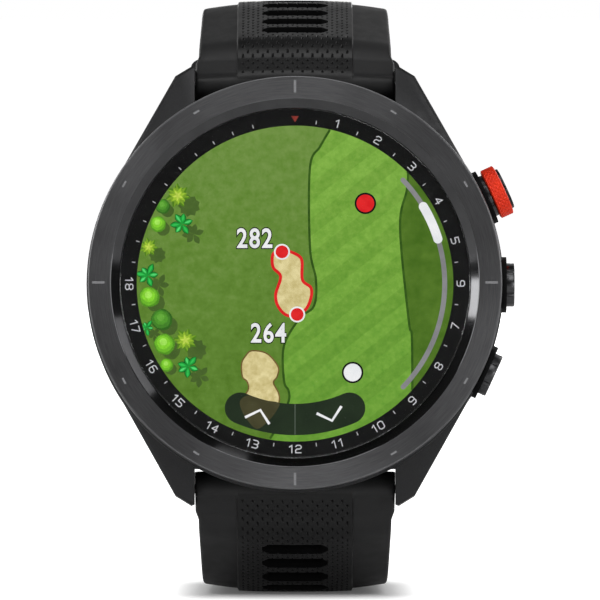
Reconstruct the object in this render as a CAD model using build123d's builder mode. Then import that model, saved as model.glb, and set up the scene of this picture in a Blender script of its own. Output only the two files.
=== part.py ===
"""Golf GPS watch: a round touch display in a metal bezel, three side buttons and a two-piece strap.

Millimetres. +X points to 3 o'clock, the dial faces -Y and leans back a little, and +Z is up. The origin
is the centre of the sensor window's flat face, which rests on the wrist. "Depth" is measured from the
bezel's front face towards the wrist, and "radius" from the dial's axis.
"""

import os
from math import cos, radians, sin

from build123d import *

# ---- whole watch ----
LEAN = 5.5  # degrees that the dial leans back from vertical
THICKNESS = 12.8  # bezel face to sensor window

# ---- bezel, lens and display ----
LENS_R = 19.70
LENS_FRONT = 0.95
LENS_BACK = 2.15
BEZEL_IN_R = 19.74
CHAMFER_R = 20.76
BEZEL_R = 23.30
BEZEL_EDGE = 0.2
BEZEL_BACK = 2.6
DISPLAY_R = 17.82
PANEL_R = 18.4
PANEL_BACK = 3.6
PRINT_BACK = 2.30
GASKET_IN_R = 18.75

# ---- case ----
CASE_R = 23.5
CASE_BACK_R = 22.6
CASE_SIDE_BACK = 9.6
CASE_BACK = 11.2
DECK_IN_R = 18.65
DECK_BACK = 3.8
CAVITY_R = 19.5
COVER_SEAT = 10.4
COVER_R = 21.6
COVER_FRONT = 10.55
COVER_STEP_R = 15.5
COVER_STEP = 12.3
WINDOW_R = 8.95
WINDOW_FACE_R = 8.4
CASE_BEVEL = 0.3
COVER_RIM = 11.3
POST_R = 18.2
POST_D = 3.2
SCREW_D = 1.2
SCREW_L = 3.6
SCREW_HEAD_D = 2.3
SCREW_HEAD_H = 0.6
SCREW_SEAT = 11.1
SCREW_SOCKET = 0.4
SOCKET_CENTRE = (0, -12.6)
SOCKET_SIZE = (8.1, 4.3)
SOCKET_OPENING = (6.9, 3.1)
SOCKET_FLOOR = 11.0
SOCKET_BACK = 12.2
CONTACT_D = 0.8
CONTACT_PITCH = 1.5
CONTACT_FRONT = 10.0
CONTACT_L = 1.6

# ---- electronics ----
SENSOR_BOARD_R = 8.0
SENSOR_BOARD_FRONT = 10.4
FRAME_FRONT = 3.7
FRAME_THICK = 0.5
FRAME_POST_R = 15.2
BOARD_R = 16.4
BOARD_FRONT = 4.9
BOARD_THICK = 0.7
CHIP_H = 0.6
BATTERY_SIZE = (24.0, 20.0, 4.2)
BATTERY_FRONT = 5.8
MOTOR_R = 4.0
MOTOR_X = 13.4
ANTENNA_R = 18.9
ANTENNA_FRONT = 6.2
ANTENNA_W = 3.0

# ---- lugs and strap bars ----
LUG_GAP = 22.72  # between the lugs' inner faces
LUG_CORNER = (13.54, 23.67)
LUG_TIP = (11.75, 24.62)
LUG_FRONT = 2.9
LUG_BACK = 10.6
LUG_TIP_FRONT = 4.8
LUG_LEAVES_AT = 29.7  # angle above 3 o'clock where the lug's outer line leaves the round body
RECESS_FRONT = 3.6  # hollow between the lugs for the strap's shoulder
RECESS_START = 20.6
RECESS_END = 27.0
BAR_DEPTH = 8.2
BAR_HEIGHT = 22.9
PIN_D = 1.0
PIN_REACH = 12.6
HOLE_REACH = 12.9
FIT = 0.05  # radial clearance of running fits
TUBE_D = 1.8
TUBE_HALF = 10.9
BORE_START = -8.0
LATCH_START = 2.0
LEVER_X = 5.3
LEVER_D = 0.8
LEVER_REACH = 2.9
LEVER_SLOT = (3.3, 6.2)

# ---- buttons ----
BUTTON_ANGLES = {"top": 24.75, "middle": 0.0, "lower": -24.75}
BUTTON_DEPTH = 4.4
BOSS_D = 6.3
BOSS_R = 23.83
POCKET_D = 5.2
POCKET_FLOOR = 23.4
CAP_D = 4.9
CAP_BASE = 23.9
CAP_TOP = 24.73
STEM_D = 2.2
STEM_IN = 18.9
SWITCH_IN = 16.9
SWITCH_TRAVEL_GAP = 0.5
SPRING_BORE_D = 3.2
SPRING_FLOOR = 22.0
NECK_TOP = 24.3
RING_D = 5.9
RING_TOP = 25.87
CORE_D = 4.2
END_CAP_D = 4.76
END_CAP_TOP = 26.2
FLUTES = 6
FLUTE_R = 0.27
CLIP_R = 19.08
CLIP_THICK = 0.25
CLIP_D = 2.9
CLIP_POCKET_D = 3.1
CLIP_POCKET_IN = 17.5
CLIP_POCKET_OUT = 19.42
GROOVE_D = 1.38
SEAL_R = 20.9
SEAL_WIRE = 0.21
SEAL_MEAN_R = 0.92
SPRING_WIRE_D = 0.24
SPRING_MEAN_R = 1.33
SPRING_TURNS = 4
BAR_SPRING_WIRE_D = 0.25
BAR_SPRING_MEAN_R = 0.41
BAR_SPRING_TURNS = 10
SPRING_GAP = 0.15  # left at each end of a spring

# ---- strap ----
BAND = 2.6  # thickness without the raised panel
PANEL_RISE = 0.3
PANEL_W = 12.95
STRAP_W = 22.0
STRAP_CREST_W = 21.0
STRAP_TAIL_W = 20.0
NOSE_R = 2.0
SHOULDER_RUN = 2.8
SHOULDER_ANGLE = 26.0
KNEE_R = 4.4
KNEE_TURN = 38.0
ARM_RUN = 8.6
CREST_R = 12.4
CREST_TURN = 26.0
UPPER_FLAT = 3.6
UPPER_BACK_R = 22.4
UPPER_DOWN = 5.5
LOWER_FLAT = 20.0
LOWER_BACK_R = 25.4
LOWER_TAIL = 31.0
SLOT_L = 7.5
SLOT_W = 2.2
SLOT_DEEP = 1.3
SLOT_PITCH = 3.38
SLOT_START = 8.3
SLOT_COUNT = 5
SLOT_SCALE = {1: 0.8, -1: 1.0}  # the upper half's slots are narrower and closer together
HOLE_L = 3.4
HOLE_W = 2.0
HOLE_START = 62.0
HOLE_PITCH = 2 * SLOT_PITCH
HOLE_COUNT = 7
TAIL_CORNER = 7.5
BUCKLE_NOSE_R = 1.9
TONGUE_EYE_R = 1.55

# ---- keepers and buckle ----
KEEPER_IN = 20.8  # radii from the centre of the upper strap's back curve
KEEPER_CLEAR = 27.0
KEEPER_WALL = 1.2
KEEPER_HALF_W = 10.3
KEEPER_OUT_HALF_W = 12.3
FREE_KEEPER = (46.0, 14.0)  # first angle from the crest, and the angle it covers
FIXED_KEEPER = (66.0, 12.0)
BUCKLE_PIN_D = 1.6
BUCKLE_HALF_W = 12.4
BUCKLE_IN_HALF_W = 10.35
BUCKLE_TOP = 1.9
BUCKLE_DROP = 12.0
BUCKLE_BAR = 2.6
BUCKLE_THICK = 2.6
BUCKLE_EDGE = 0.4
TONGUE_W = 2.4
TONGUE_SLOT = (3.2, 6.4)

ACROSS = Vector(1, 0, 0)
NORMAL = Vector(0, -cos(radians(LEAN)), sin(radians(LEAN)))
TWELVE = Vector(0, sin(radians(LEAN)), cos(radians(LEAN)))
FACE_CENTRE = NORMAL * THICKNESS
dial = Plane(origin=FACE_CENTRE, x_dir=ACROSS, z_dir=NORMAL)
section = Plane(origin=FACE_CENTRE, x_dir=-ACROSS, z_dir=TWELVE)  # radius to 9 o'clock, front up
side = Plane(origin=FACE_CENTRE, x_dir=-NORMAL, z_dir=ACROSS)  # depth across, 12 o'clock up
plan = Plane(origin=FACE_CENTRE, x_dir=ACROSS, z_dir=TWELVE)  # x across, depth up
dial_axis = Axis(FACE_CENTRE, NORMAL)


def level(depth):
    """Plane parallel to the dial, facing the viewer, this far behind the bezel's face."""
    return dial.offset(-depth)


def button_plane(angle, radius):
    """Plane square to a button's axis, facing outwards, at this radius."""
    outward = ACROSS * cos(radians(angle)) + TWELVE * sin(radians(angle))
    return Plane(origin=FACE_CENTRE - NORMAL * BUTTON_DEPTH, x_dir=-NORMAL, z_dir=outward).offset(radius)


def turned(corners):
    """Solid turned about the dial's axis from (radius, depth) corners."""
    with BuildPart() as solid:
        with BuildSketch(section):
            with BuildLine():
                Polyline(*[(radius, -depth) for radius, depth in corners], close=True)
            make_face()
        revolve(axis=dial_axis)
    return solid


def disc_at(radius, front, back, centre=(0, 0)):
    """Round solid parallel to the dial between two depths."""
    with BuildPart() as solid:
        with BuildSketch(level(front)):
            with Locations(centre):
                Circle(radius)
        extrude(amount=-(back - front))
    return solid


def coil(base, length, mean_radius, wire_d, turns):
    """Compression spring standing on a plane, along its normal."""
    with BuildPart() as spring:
        with BuildLine() as helix:
            Helix(pitch=length / turns, height=length, radius=mean_radius,
                  center=base.origin, direction=base.z_dir)
        with BuildSketch(Plane(origin=helix.line @ 0, z_dir=helix.line % 0)):
            Circle(wire_d / 2)
        sweep(is_frenet=True)
    return spring


# ---- bezel, lens, printed ring, display ----
bezel = turned([(BEZEL_IN_R, LENS_FRONT), (CHAMFER_R, 0), (BEZEL_R - BEZEL_EDGE, 0), (BEZEL_R, BEZEL_EDGE),
                (BEZEL_R, BEZEL_BACK), (BEZEL_IN_R, BEZEL_BACK)])
lens = turned([(0, LENS_FRONT), (LENS_R, LENS_FRONT), (LENS_R, LENS_BACK), (0, LENS_BACK)])
dial_ring = turned([(DISPLAY_R + 0.02, LENS_BACK), (LENS_R, LENS_BACK), (LENS_R, PRINT_BACK),
                    (DISPLAY_R + 0.02, PRINT_BACK)])
lens_gasket = turned([(GASKET_IN_R, PRINT_BACK), (LENS_R, PRINT_BACK), (LENS_R, BEZEL_BACK),
                      (GASKET_IN_R, BEZEL_BACK)])

with BuildPart() as display_panel:
    with BuildSketch(level(PANEL_BACK)):
        Circle(PANEL_R)
    extrude(amount=PANEL_BACK - PRINT_BACK)
    with BuildSketch(level(PRINT_BACK)):
        Circle(DISPLAY_R)
    extrude(amount=PRINT_BACK - LENS_BACK)

# ---- case shell: lugs, body, button bosses, then the hollows ----
tangent_r = CASE_R - 0.1
tangent_point = (tangent_r * cos(radians(LUG_LEAVES_AT)), tangent_r * sin(radians(LUG_LEAVES_AT)))
lug_inner = LUG_GAP / 2


def outer_edge(edge):
    """Whether an edge lies outside the round body and away from the strap's gap."""
    middle = dial.to_local_coords(edge @ 0.5)
    return edge.length > 1 and middle.X > lug_inner + 0.5 and (middle.X**2 + middle.Y**2) ** 0.5 > CASE_R


with BuildPart() as lug:
    with BuildSketch(level(LUG_FRONT)):
        with BuildLine():
            Polyline((lug_inner, 19.0), (lug_inner, LUG_TIP[1]), (LUG_TIP[0], LUG_TIP[1] + 0.15), LUG_CORNER,
                     tangent_point, (16.0, 6.0), close=True)
        make_face()
    extrude(amount=-(LUG_BACK - LUG_FRONT))
    with BuildSketch(side):
        with BuildLine():
            Polyline((LUG_FRONT - 1, 8), (LUG_FRONT, 11), (LUG_TIP_FRONT, 25), (LUG_FRONT - 1, 25),
                     close=True)
        make_face()
        with BuildLine():
            Polyline((LUG_BACK + 1, 16), (LUG_BACK, 17), (LUG_BACK - 0.7, 25), (LUG_BACK + 1, 25), close=True)
        make_face()
    extrude(amount=30, mode=Mode.SUBTRACT)
    front_faces = lug.faces().filter_by(lambda face: face.normal_at().dot(NORMAL) > 0.9)
    chamfer(front_faces.sort_by(SortBy.AREA)[-1].edges().filter_by(outer_edge), length=CASE_BEVEL)

with BuildPart() as case_shell:
    add(lug.part)
    mirror(about=side)
    mirror(about=plan)
    with BuildSketch(section):
        with BuildLine():
            Polyline((0, -BEZEL_BACK), (BEZEL_R, -BEZEL_BACK), (CASE_R, -BEZEL_BACK - CASE_BEVEL),
                     (CASE_R, -CASE_SIDE_BACK), (CASE_BACK_R, -CASE_BACK), (0, -CASE_BACK), close=True)
        make_face()
    revolve(axis=dial_axis)
    for angle in BUTTON_ANGLES.values():
        with BuildSketch(button_plane(angle, CAVITY_R + 1)):
            Circle(BOSS_D / 2)
        extrude(amount=BOSS_R - CAVITY_R - 1)
    with BuildSketch(section):
        with BuildLine():
            Polyline((0, 0), (BEZEL_R + 0.05, 0), (BEZEL_R + 0.05, -BEZEL_BACK), (0, -BEZEL_BACK), close=True)
        make_face()
        with BuildLine():
            Polyline((0, -BEZEL_BACK), (DECK_IN_R, -BEZEL_BACK), (DECK_IN_R, -DECK_BACK),
                     (CAVITY_R, -DECK_BACK), (CAVITY_R, -COVER_SEAT), (COVER_R + 0.05, -COVER_SEAT),
                     (COVER_R + 0.05, -CASE_BACK), (0, -CASE_BACK), close=True)
        make_face()
    revolve(axis=dial_axis, mode=Mode.SUBTRACT)
    with BuildSketch(side):
        with Locations(((RECESS_FRONT + CASE_BACK + 1) / 2, (RECESS_START + RECESS_END) / 2),
                       ((RECESS_FRONT + CASE_BACK + 1) / 2, -(RECESS_START + RECESS_END) / 2)):
            Rectangle(CASE_BACK + 1 - RECESS_FRONT, RECESS_END - RECESS_START)
    extrude(amount=lug_inner, both=True, mode=Mode.SUBTRACT)
    with BuildSketch(level(DECK_BACK)):
        with PolarLocations(POST_R, 4, start_angle=45):
            Circle(POST_D / 2)
    extrude(amount=-(COVER_SEAT - DECK_BACK))
    with BuildSketch(level(COVER_SEAT)):
        with PolarLocations(POST_R, 4, start_angle=45):
            Circle(SCREW_D / 2)
    extrude(amount=4, mode=Mode.SUBTRACT)
    for angle in BUTTON_ANGLES.values():
        with BuildSketch(button_plane(angle, 16.0)):
            Circle(STEM_D / 2 + FIT)
        extrude(amount=10, mode=Mode.SUBTRACT)
        with BuildSketch(button_plane(angle, CLIP_POCKET_IN)):
            Circle(CLIP_POCKET_D / 2)
        extrude(amount=CLIP_POCKET_OUT - CLIP_POCKET_IN, mode=Mode.SUBTRACT)
        with BuildSketch(button_plane(angle, SPRING_FLOOR)):
            Circle(SPRING_BORE_D / 2)
        extrude(amount=3, mode=Mode.SUBTRACT)
        with BuildSketch(button_plane(angle, POCKET_FLOOR)):
            Circle(POCKET_D / 2)
        extrude(amount=3, mode=Mode.SUBTRACT)
    with BuildSketch(side):
        with Locations((BAR_DEPTH, BAR_HEIGHT), (BAR_DEPTH, -BAR_HEIGHT)):
            Circle(PIN_D / 2 + FIT)
    extrude(amount=HOLE_REACH, both=True, mode=Mode.SUBTRACT)

# ---- back cover, sensor window, charging socket ----
with BuildPart() as back_cover:
    add(turned([(WINDOW_R + 0.05, COVER_FRONT), (COVER_R, COVER_FRONT), (COVER_R, COVER_RIM),
                (COVER_STEP_R, COVER_STEP), (WINDOW_R + 0.05, COVER_STEP)]).part)
    with BuildSketch(level(COVER_FRONT)):
        with PolarLocations(POST_R, 4, start_angle=45):
            Circle(SCREW_D / 2 + 0.1)
    extrude(amount=-3, mode=Mode.SUBTRACT)
    with BuildSketch(level(SCREW_SEAT)):
        with PolarLocations(POST_R, 4, start_angle=45):
            Circle(SCREW_HEAD_D / 2 + 0.15)
    extrude(amount=-3, mode=Mode.SUBTRACT)
    with BuildSketch(level(COVER_FRONT)):
        with Locations(SOCKET_CENTRE):
            RectangleRounded(SOCKET_SIZE[0] + 0.1, SOCKET_SIZE[1] + 0.1, 1.0)
    extrude(amount=-3, mode=Mode.SUBTRACT)
back_gasket = turned([(19.7, COVER_SEAT), (21.3, COVER_SEAT), (21.3, COVER_FRONT), (19.7, COVER_FRONT)])
sensor_window = turned([(0, 11.0), (WINDOW_R, 11.0), (WINDOW_R, 12.35), (WINDOW_FACE_R, THICKNESS),
                        (0, THICKNESS)])

with BuildPart() as case_screws:
    with BuildSketch(level(SCREW_SEAT)):
        with PolarLocations(POST_R, 4, start_angle=45):
            Circle(SCREW_HEAD_D / 2)
    extrude(amount=-SCREW_HEAD_H)
    with BuildSketch(level(SCREW_SEAT)):
        with PolarLocations(POST_R, 4, start_angle=45):
            Circle(SCREW_D / 2)
    extrude(amount=SCREW_L)
    with BuildSketch(level(SCREW_SEAT + SCREW_HEAD_H)):
        with PolarLocations(POST_R, 4, start_angle=45):
            RegularPolygon(0.55, 6)
    extrude(amount=SCREW_SOCKET, mode=Mode.SUBTRACT)

with BuildPart() as charge_socket:
    with BuildSketch(level(COVER_FRONT)):
        with Locations(SOCKET_CENTRE):
            RectangleRounded(*SOCKET_SIZE, 0.95)
    extrude(amount=-(SOCKET_BACK - COVER_FRONT))
    with BuildSketch(level(SOCKET_FLOOR)):
        with Locations(SOCKET_CENTRE):
            RectangleRounded(*SOCKET_OPENING, 0.6)
    extrude(amount=-3, mode=Mode.SUBTRACT)
    with BuildSketch(level(COVER_FRONT)):
        with Locations(SOCKET_CENTRE):
            with GridLocations(CONTACT_PITCH, 1, 4, 1):
                Circle(CONTACT_D / 2 + 0.02)
    extrude(amount=-3, mode=Mode.SUBTRACT)

with BuildPart() as charge_contacts:
    with BuildSketch(level(CONTACT_FRONT)):
        with Locations(SOCKET_CENTRE):
            with GridLocations(CONTACT_PITCH, 1, 4, 1):
                Circle(CONTACT_D / 2)
    extrude(amount=-CONTACT_L)

# ---- electronics ----
with BuildPart() as sensor_board:
    with BuildSketch(level(SENSOR_BOARD_FRONT)):
        Circle(SENSOR_BOARD_R)
    extrude(amount=-0.4)
    with BuildSketch(level(SENSOR_BOARD_FRONT + 0.4)):
        RectangleRounded(3.2, 2.4, 0.2)
        with PolarLocations(4.6, 4):
            Rectangle(2.2, 1.6)
    extrude(amount=-0.15)

with BuildPart() as mid_frame:
    with BuildSketch(level(FRAME_FRONT)):
        Circle(BOARD_R)
        with Locations((0, -9)):
            RectangleRounded(14, 5, 1, mode=Mode.SUBTRACT)
        with Locations((0, 7)):
            RectangleRounded(18, 8, 1, mode=Mode.SUBTRACT)
    extrude(amount=-FRAME_THICK)
    with BuildSketch(level(FRAME_FRONT + FRAME_THICK)):
        with PolarLocations(FRAME_POST_R, 4):
            Circle(1.0)
    extrude(amount=-(BOARD_FRONT - FRAME_FRONT - FRAME_THICK))

with BuildPart() as main_board:
    with BuildSketch(level(BOARD_FRONT)):
        Circle(BOARD_R)
        with Locations((0, BOARD_R), (0, -BOARD_R)):
            RectangleRounded(5, 3, 0.5, mode=Mode.SUBTRACT)
    extrude(amount=-BOARD_THICK)
    with BuildSketch(level(BOARD_FRONT)):
        with Locations((-5, 6)):
            Rectangle(6, 6)
        with Locations((4, 7)):
            Rectangle(4.5, 4.5)
        with Locations((0, -8)):
            Rectangle(9, 2.2)
    extrude(amount=CHIP_H)

with BuildPart() as battery:
    with BuildSketch(level(BATTERY_FRONT)):
        with Locations((-3, 0)):
            RectangleRounded(BATTERY_SIZE[0], BATTERY_SIZE[1], 2)
    extrude(amount=-BATTERY_SIZE[2])
    chamfer(battery.faces().sort_by(dial_axis)[0].edges(), length=0.5)
    chamfer(battery.faces().sort_by(dial_axis)[-1].edges(), length=0.5)

vibration_motor = disc_at(MOTOR_R, 5.7, 8.3, (MOTOR_X, 0))
with BuildPart() as gps_antenna:
    with BuildSketch(level(ANTENNA_FRONT)):
        with BuildLine():
            CenterArc((0, 0), ANTENNA_R, 57, 66)
        trace(line_width=0.7)
    extrude(amount=-ANTENNA_W)
with BuildPart() as button_switches:
    for angle in BUTTON_ANGLES.values():
        with BuildSketch(button_plane(angle, SWITCH_IN)):
            Rectangle(1.1, 3.2)
        extrude(amount=STEM_IN - SWITCH_TRAVEL_GAP - SWITCH_IN)


# ---- side buttons ----
def button(angle, cap_top):
    """Stem with a clip groove, a seal groove and a fluted cap."""
    with BuildPart() as stem:
        with BuildSketch(button_plane(angle, STEM_IN)):
            Circle(STEM_D / 2)
        extrude(amount=CAP_BASE - STEM_IN)
        with BuildSketch(button_plane(angle, CLIP_R)):
            Circle(STEM_D)
            Circle(GROOVE_D / 2, mode=Mode.SUBTRACT)
        extrude(amount=CLIP_THICK + 0.1, mode=Mode.SUBTRACT)
        with BuildSketch(button_plane(angle, SEAL_R - SEAL_WIRE)):
            Circle(STEM_D)
            Circle(GROOVE_D / 2, mode=Mode.SUBTRACT)
        extrude(amount=2 * SEAL_WIRE, mode=Mode.SUBTRACT)
        with BuildSketch(button_plane(angle, CAP_BASE)):
            Circle(CAP_D / 2)
            with PolarLocations(CAP_D / 2 + 0.1, FLUTES, start_angle=180 / FLUTES):
                Circle(FLUTE_R, mode=Mode.SUBTRACT)
        extrude(amount=cap_top - CAP_BASE)
    return stem


def button_seal(angle):
    """O-ring in the stem's seal groove."""
    base = button_plane(angle, SEAL_R)
    with BuildPart() as seal:
        with BuildSketch(Plane(origin=base.origin, x_dir=base.x_dir, z_dir=base.y_dir)):
            with Locations((SEAL_MEAN_R, 0)):
                Circle(SEAL_WIRE)
        revolve(axis=Axis(base.origin, base.z_dir))
    return seal


def button_clip(angle):
    """Open retaining clip in the stem's clip groove."""
    with BuildPart() as clip:
        with BuildSketch(button_plane(angle, CLIP_R)):
            Circle(CLIP_D / 2)
            Circle(GROOVE_D / 2 + 0.03, mode=Mode.SUBTRACT)
            with Locations((CLIP_D / 2, 0)):
                Rectangle(CLIP_D, GROOVE_D * 0.8, mode=Mode.SUBTRACT)
        extrude(amount=CLIP_THICK)
    return clip


top_angle = BUTTON_ANGLES["top"]
with BuildPart() as button_top:
    add(button(top_angle, NECK_TOP).part)
    with BuildSketch(button_plane(top_angle, NECK_TOP)):
        Circle(CORE_D / 2)
    extrude(amount=RING_TOP - NECK_TOP)
button_middle = button(BUTTON_ANGLES["middle"], CAP_TOP)
button_lower = button(BUTTON_ANGLES["lower"], CAP_TOP)

with BuildPart() as button_ring:
    with BuildSketch(button_plane(top_angle, NECK_TOP)):
        Circle(RING_D / 2)
        Circle(CORE_D / 2 + 0.01, mode=Mode.SUBTRACT)
    extrude(amount=RING_TOP - NECK_TOP)
    chamfer(button_ring.edges().filter_by(lambda edge: edge.length > 3.1 * RING_D), length=0.15)

with BuildPart() as button_end_cap:
    with BuildSketch(button_plane(top_angle, RING_TOP)):
        Circle(END_CAP_D / 2)
    extrude(amount=END_CAP_TOP - RING_TOP)
    chamfer(button_end_cap.faces().sort_by(Axis.X)[-1].edges(), length=0.1)

pieces = {}
for place, angle in BUTTON_ANGLES.items():
    pieces["button_seal_" + place] = button_seal(angle)
    pieces["button_clip_" + place] = button_clip(angle)
    pieces["button_spring_" + place] = coil(button_plane(angle, SPRING_FLOOR + SPRING_GAP),
                                            CAP_BASE - SPRING_FLOOR - 2 * SPRING_GAP, SPRING_MEAN_R,
                                            SPRING_WIRE_D, SPRING_TURNS)


# ---- strap halves ----
def strap_route(end, shift=0.0):
    """Centre line of a strap half in the side plane, from its bar to its end, and its back curve's centre.

    end is 1 for the upper half and -1 for the lower. shift moves the line towards the outer face.
    """
    upper = end > 0
    crest_turn = CREST_TURN if upper else CREST_TURN + LEAN
    start = Vector(BAR_DEPTH, end * BAR_HEIGHT) + Vector(-cos(radians(SHOULDER_ANGLE)),
                                                        end * sin(radians(SHOULDER_ANGLE))) * shift
    with BuildLine() as route:
        shoulder = PolarLine((start.X, start.Y), SHOULDER_RUN, angle=end * (90 - SHOULDER_ANGLE))
        knee = JernArc(shoulder @ 1, shoulder % 1, KNEE_R + shift, -end * KNEE_TURN)
        arm = PolarLine(knee @ 1, ARM_RUN, direction=knee % 1)
        crest = JernArc(arm @ 1, arm % 1, CREST_R + shift, -end * crest_turn)
        flat = PolarLine(crest @ 1, UPPER_FLAT if upper else LOWER_FLAT, direction=crest % 1)
        back = JernArc(flat @ 1, flat % 1, (UPPER_BACK_R if upper else LOWER_BACK_R) + shift,
                       -end * (90 - LEAN if upper else 90))
        PolarLine(back @ 1, UPPER_DOWN if upper else LOWER_TAIL, direction=back % 1)
    return route, back.arc_center


def face_plane(end, distance):
    """Plane on a strap half's raised panel, facing outwards, this far along it from the bar."""
    route, _ = strap_route(end, BAND / 2 + PANEL_RISE)
    line = route.wire()
    point = line @ (distance / line.length)
    along = line % (distance / line.length)
    outward = Vector(-along.Y, along.X) * end
    origin = side.from_local_coords(point)
    return Plane(origin=origin, x_dir=ACROSS, z_dir=side.from_local_coords(point + outward) - origin)


def strap_half(end):
    """Strap half: band, raised panel, nose round its bar, side taper and the row of slots."""
    route, _ = strap_route(end)
    panel_route, _ = strap_route(end, BAND / 2)
    bar = (BAR_DEPTH, end * BAR_HEIGHT)
    shoulder_end = route.wire() @ (SHOULDER_RUN / route.wire().length)
    with BuildPart() as strap:
        with BuildSketch(side):
            trace(route.line, BAND)
        extrude(amount=STRAP_W / 2, both=True)
        with BuildSketch(side):
            with Locations(bar):
                Circle(NOSE_R)
            with Locations((shoulder_end.X, shoulder_end.Y)):
                Circle(BAND / 2)
            make_hull()
        extrude(amount=STRAP_W / 2, both=True)
        with BuildSketch(side):
            trace(panel_route.line, 2 * PANEL_RISE)
        extrude(amount=PANEL_W / 2, both=True)
        with BuildSketch(plan):
            with BuildLine():
                Polyline((STRAP_W / 2, 4), (STRAP_W / 2, 7), (STRAP_CREST_W / 2, 26), (STRAP_TAIL_W / 2, 36),
                         (STRAP_TAIL_W / 2, 90), (-STRAP_TAIL_W / 2, 90), (-STRAP_TAIL_W / 2, 36),
                         (-STRAP_CREST_W / 2, 26), (-STRAP_W / 2, 7), (-STRAP_W / 2, 4), close=True)
            make_face()
        extrude(amount=60, both=True, mode=Mode.INTERSECT)
        for number in range(SLOT_COUNT):
            with BuildSketch(face_plane(end, SLOT_START + number * SLOT_PITCH * SLOT_SCALE[end])):
                SlotOverall(SLOT_L, SLOT_W * SLOT_SCALE[end])
            extrude(amount=-SLOT_DEEP, mode=Mode.SUBTRACT)
        with BuildSketch(side):
            with Locations(bar):
                Circle(TUBE_D / 2 + FIT)
        extrude(amount=STRAP_W, both=True, mode=Mode.SUBTRACT)
        with BuildSketch(side.offset(LEVER_SLOT[0] - 0.1)):
            with Locations((bar[0] + 2, bar[1])):
                Rectangle(4, LEVER_D + 0.5)
        extrude(amount=LEVER_SLOT[1] - LEVER_SLOT[0] + 0.2, mode=Mode.SUBTRACT)
    return strap


upper_route, upper_centre = strap_route(1)
buckle_pin = side.from_local_coords(upper_route.wire() @ 1)
buckle_side = Plane(origin=buckle_pin, x_dir=(0, 1, 0), z_dir=ACROSS)  # backwards across, up
buckle_face = Plane(origin=buckle_pin, x_dir=ACROSS, z_dir=(0, -1, 0))

with BuildPart() as upper_strap:
    add(strap_half(1).part)
    with BuildSketch(buckle_side):
        Circle(BUCKLE_NOSE_R)
        with Locations((0, 4)):
            Circle(BAND / 2)
        make_hull()
    extrude(amount=STRAP_TAIL_W / 2, both=True)
    with BuildSketch(buckle_side):
        Circle(BUCKLE_PIN_D / 2 + FIT)
    extrude(amount=STRAP_W, both=True, mode=Mode.SUBTRACT)
    with BuildSketch(buckle_face):
        Rectangle(*TONGUE_SLOT)
    extrude(amount=5, both=True, mode=Mode.SUBTRACT)

with BuildPart() as lower_strap:
    add(strap_half(-1).part)
    lower_length = strap_route(-1, BAND / 2 + PANEL_RISE)[0].wire().length
    with BuildSketch(face_plane(-1, lower_length)):
        Rectangle(STRAP_W, TAIL_CORNER, align=(Align.CENTER, Align.MIN))
        RectangleRounded(STRAP_TAIL_W, 3 * TAIL_CORNER, TAIL_CORNER, align=(Align.CENTER, Align.MIN),
                         mode=Mode.SUBTRACT)
    extrude(amount=-5, mode=Mode.SUBTRACT)
    for number in range(HOLE_COUNT):
        with BuildSketch(face_plane(-1, HOLE_START + number * HOLE_PITCH)):
            SlotOverall(HOLE_L, HOLE_W)
        extrude(amount=-5, mode=Mode.SUBTRACT)


# ---- quick-release bars ----
def bar_tube(end):
    """Tube in the strap's nose with a fixed pin at one end, bored for the sliding pin and its spring."""
    with BuildPart() as tube:
        with BuildSketch(side.offset(-TUBE_HALF)):
            with Locations((BAR_DEPTH, end * BAR_HEIGHT)):
                Circle(TUBE_D / 2)
        extrude(amount=2 * TUBE_HALF)
        with BuildSketch(side.offset(BORE_START)):
            with Locations((BAR_DEPTH, end * BAR_HEIGHT)):
                Circle(PIN_D / 2 + FIT)
        extrude(amount=2 * TUBE_HALF, mode=Mode.SUBTRACT)
        with BuildSketch(side.offset(-PIN_REACH)):
            with Locations((BAR_DEPTH, end * BAR_HEIGHT)):
                Circle(PIN_D / 2)
        extrude(amount=PIN_REACH - TUBE_HALF)
        with BuildSketch(side.offset(LEVER_SLOT[0])):
            with Locations((BAR_DEPTH + 2, end * BAR_HEIGHT)):
                Rectangle(4, LEVER_D + 0.2)
        extrude(amount=LEVER_SLOT[1] - LEVER_SLOT[0], mode=Mode.SUBTRACT)
    return tube


def bar_latch(end):
    """Sliding pin with the little lever that a fingertip pulls."""
    centre = side.from_local_coords(Vector(BAR_DEPTH, end * BAR_HEIGHT)) + ACROSS * LEVER_X
    with BuildPart() as latch:
        with BuildSketch(side.offset(LATCH_START)):
            with Locations((BAR_DEPTH, end * BAR_HEIGHT)):
                Circle(PIN_D / 2)
        extrude(amount=PIN_REACH - LATCH_START)
        with BuildSketch(Plane(origin=centre, x_dir=ACROSS, z_dir=-NORMAL)):
            Circle(LEVER_D / 2)
        extrude(amount=LEVER_REACH)
    return latch


for place, end in (("upper", 1), ("lower", -1)):
    pieces["bar_tube_" + place] = bar_tube(end)
    pieces["bar_latch_" + place] = bar_latch(end)
    bar_middle = side.from_local_coords(Vector(BAR_DEPTH, end * BAR_HEIGHT))
    bore_end = bar_middle + ACROSS * (BORE_START + SPRING_GAP)
    pieces["bar_spring_" + place] = coil(Plane(origin=bore_end, z_dir=ACROSS),
                                         LATCH_START - BORE_START - 2 * SPRING_GAP,
                                         BAR_SPRING_MEAN_R, BAR_SPRING_WIRE_D, BAR_SPRING_TURNS)


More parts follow.
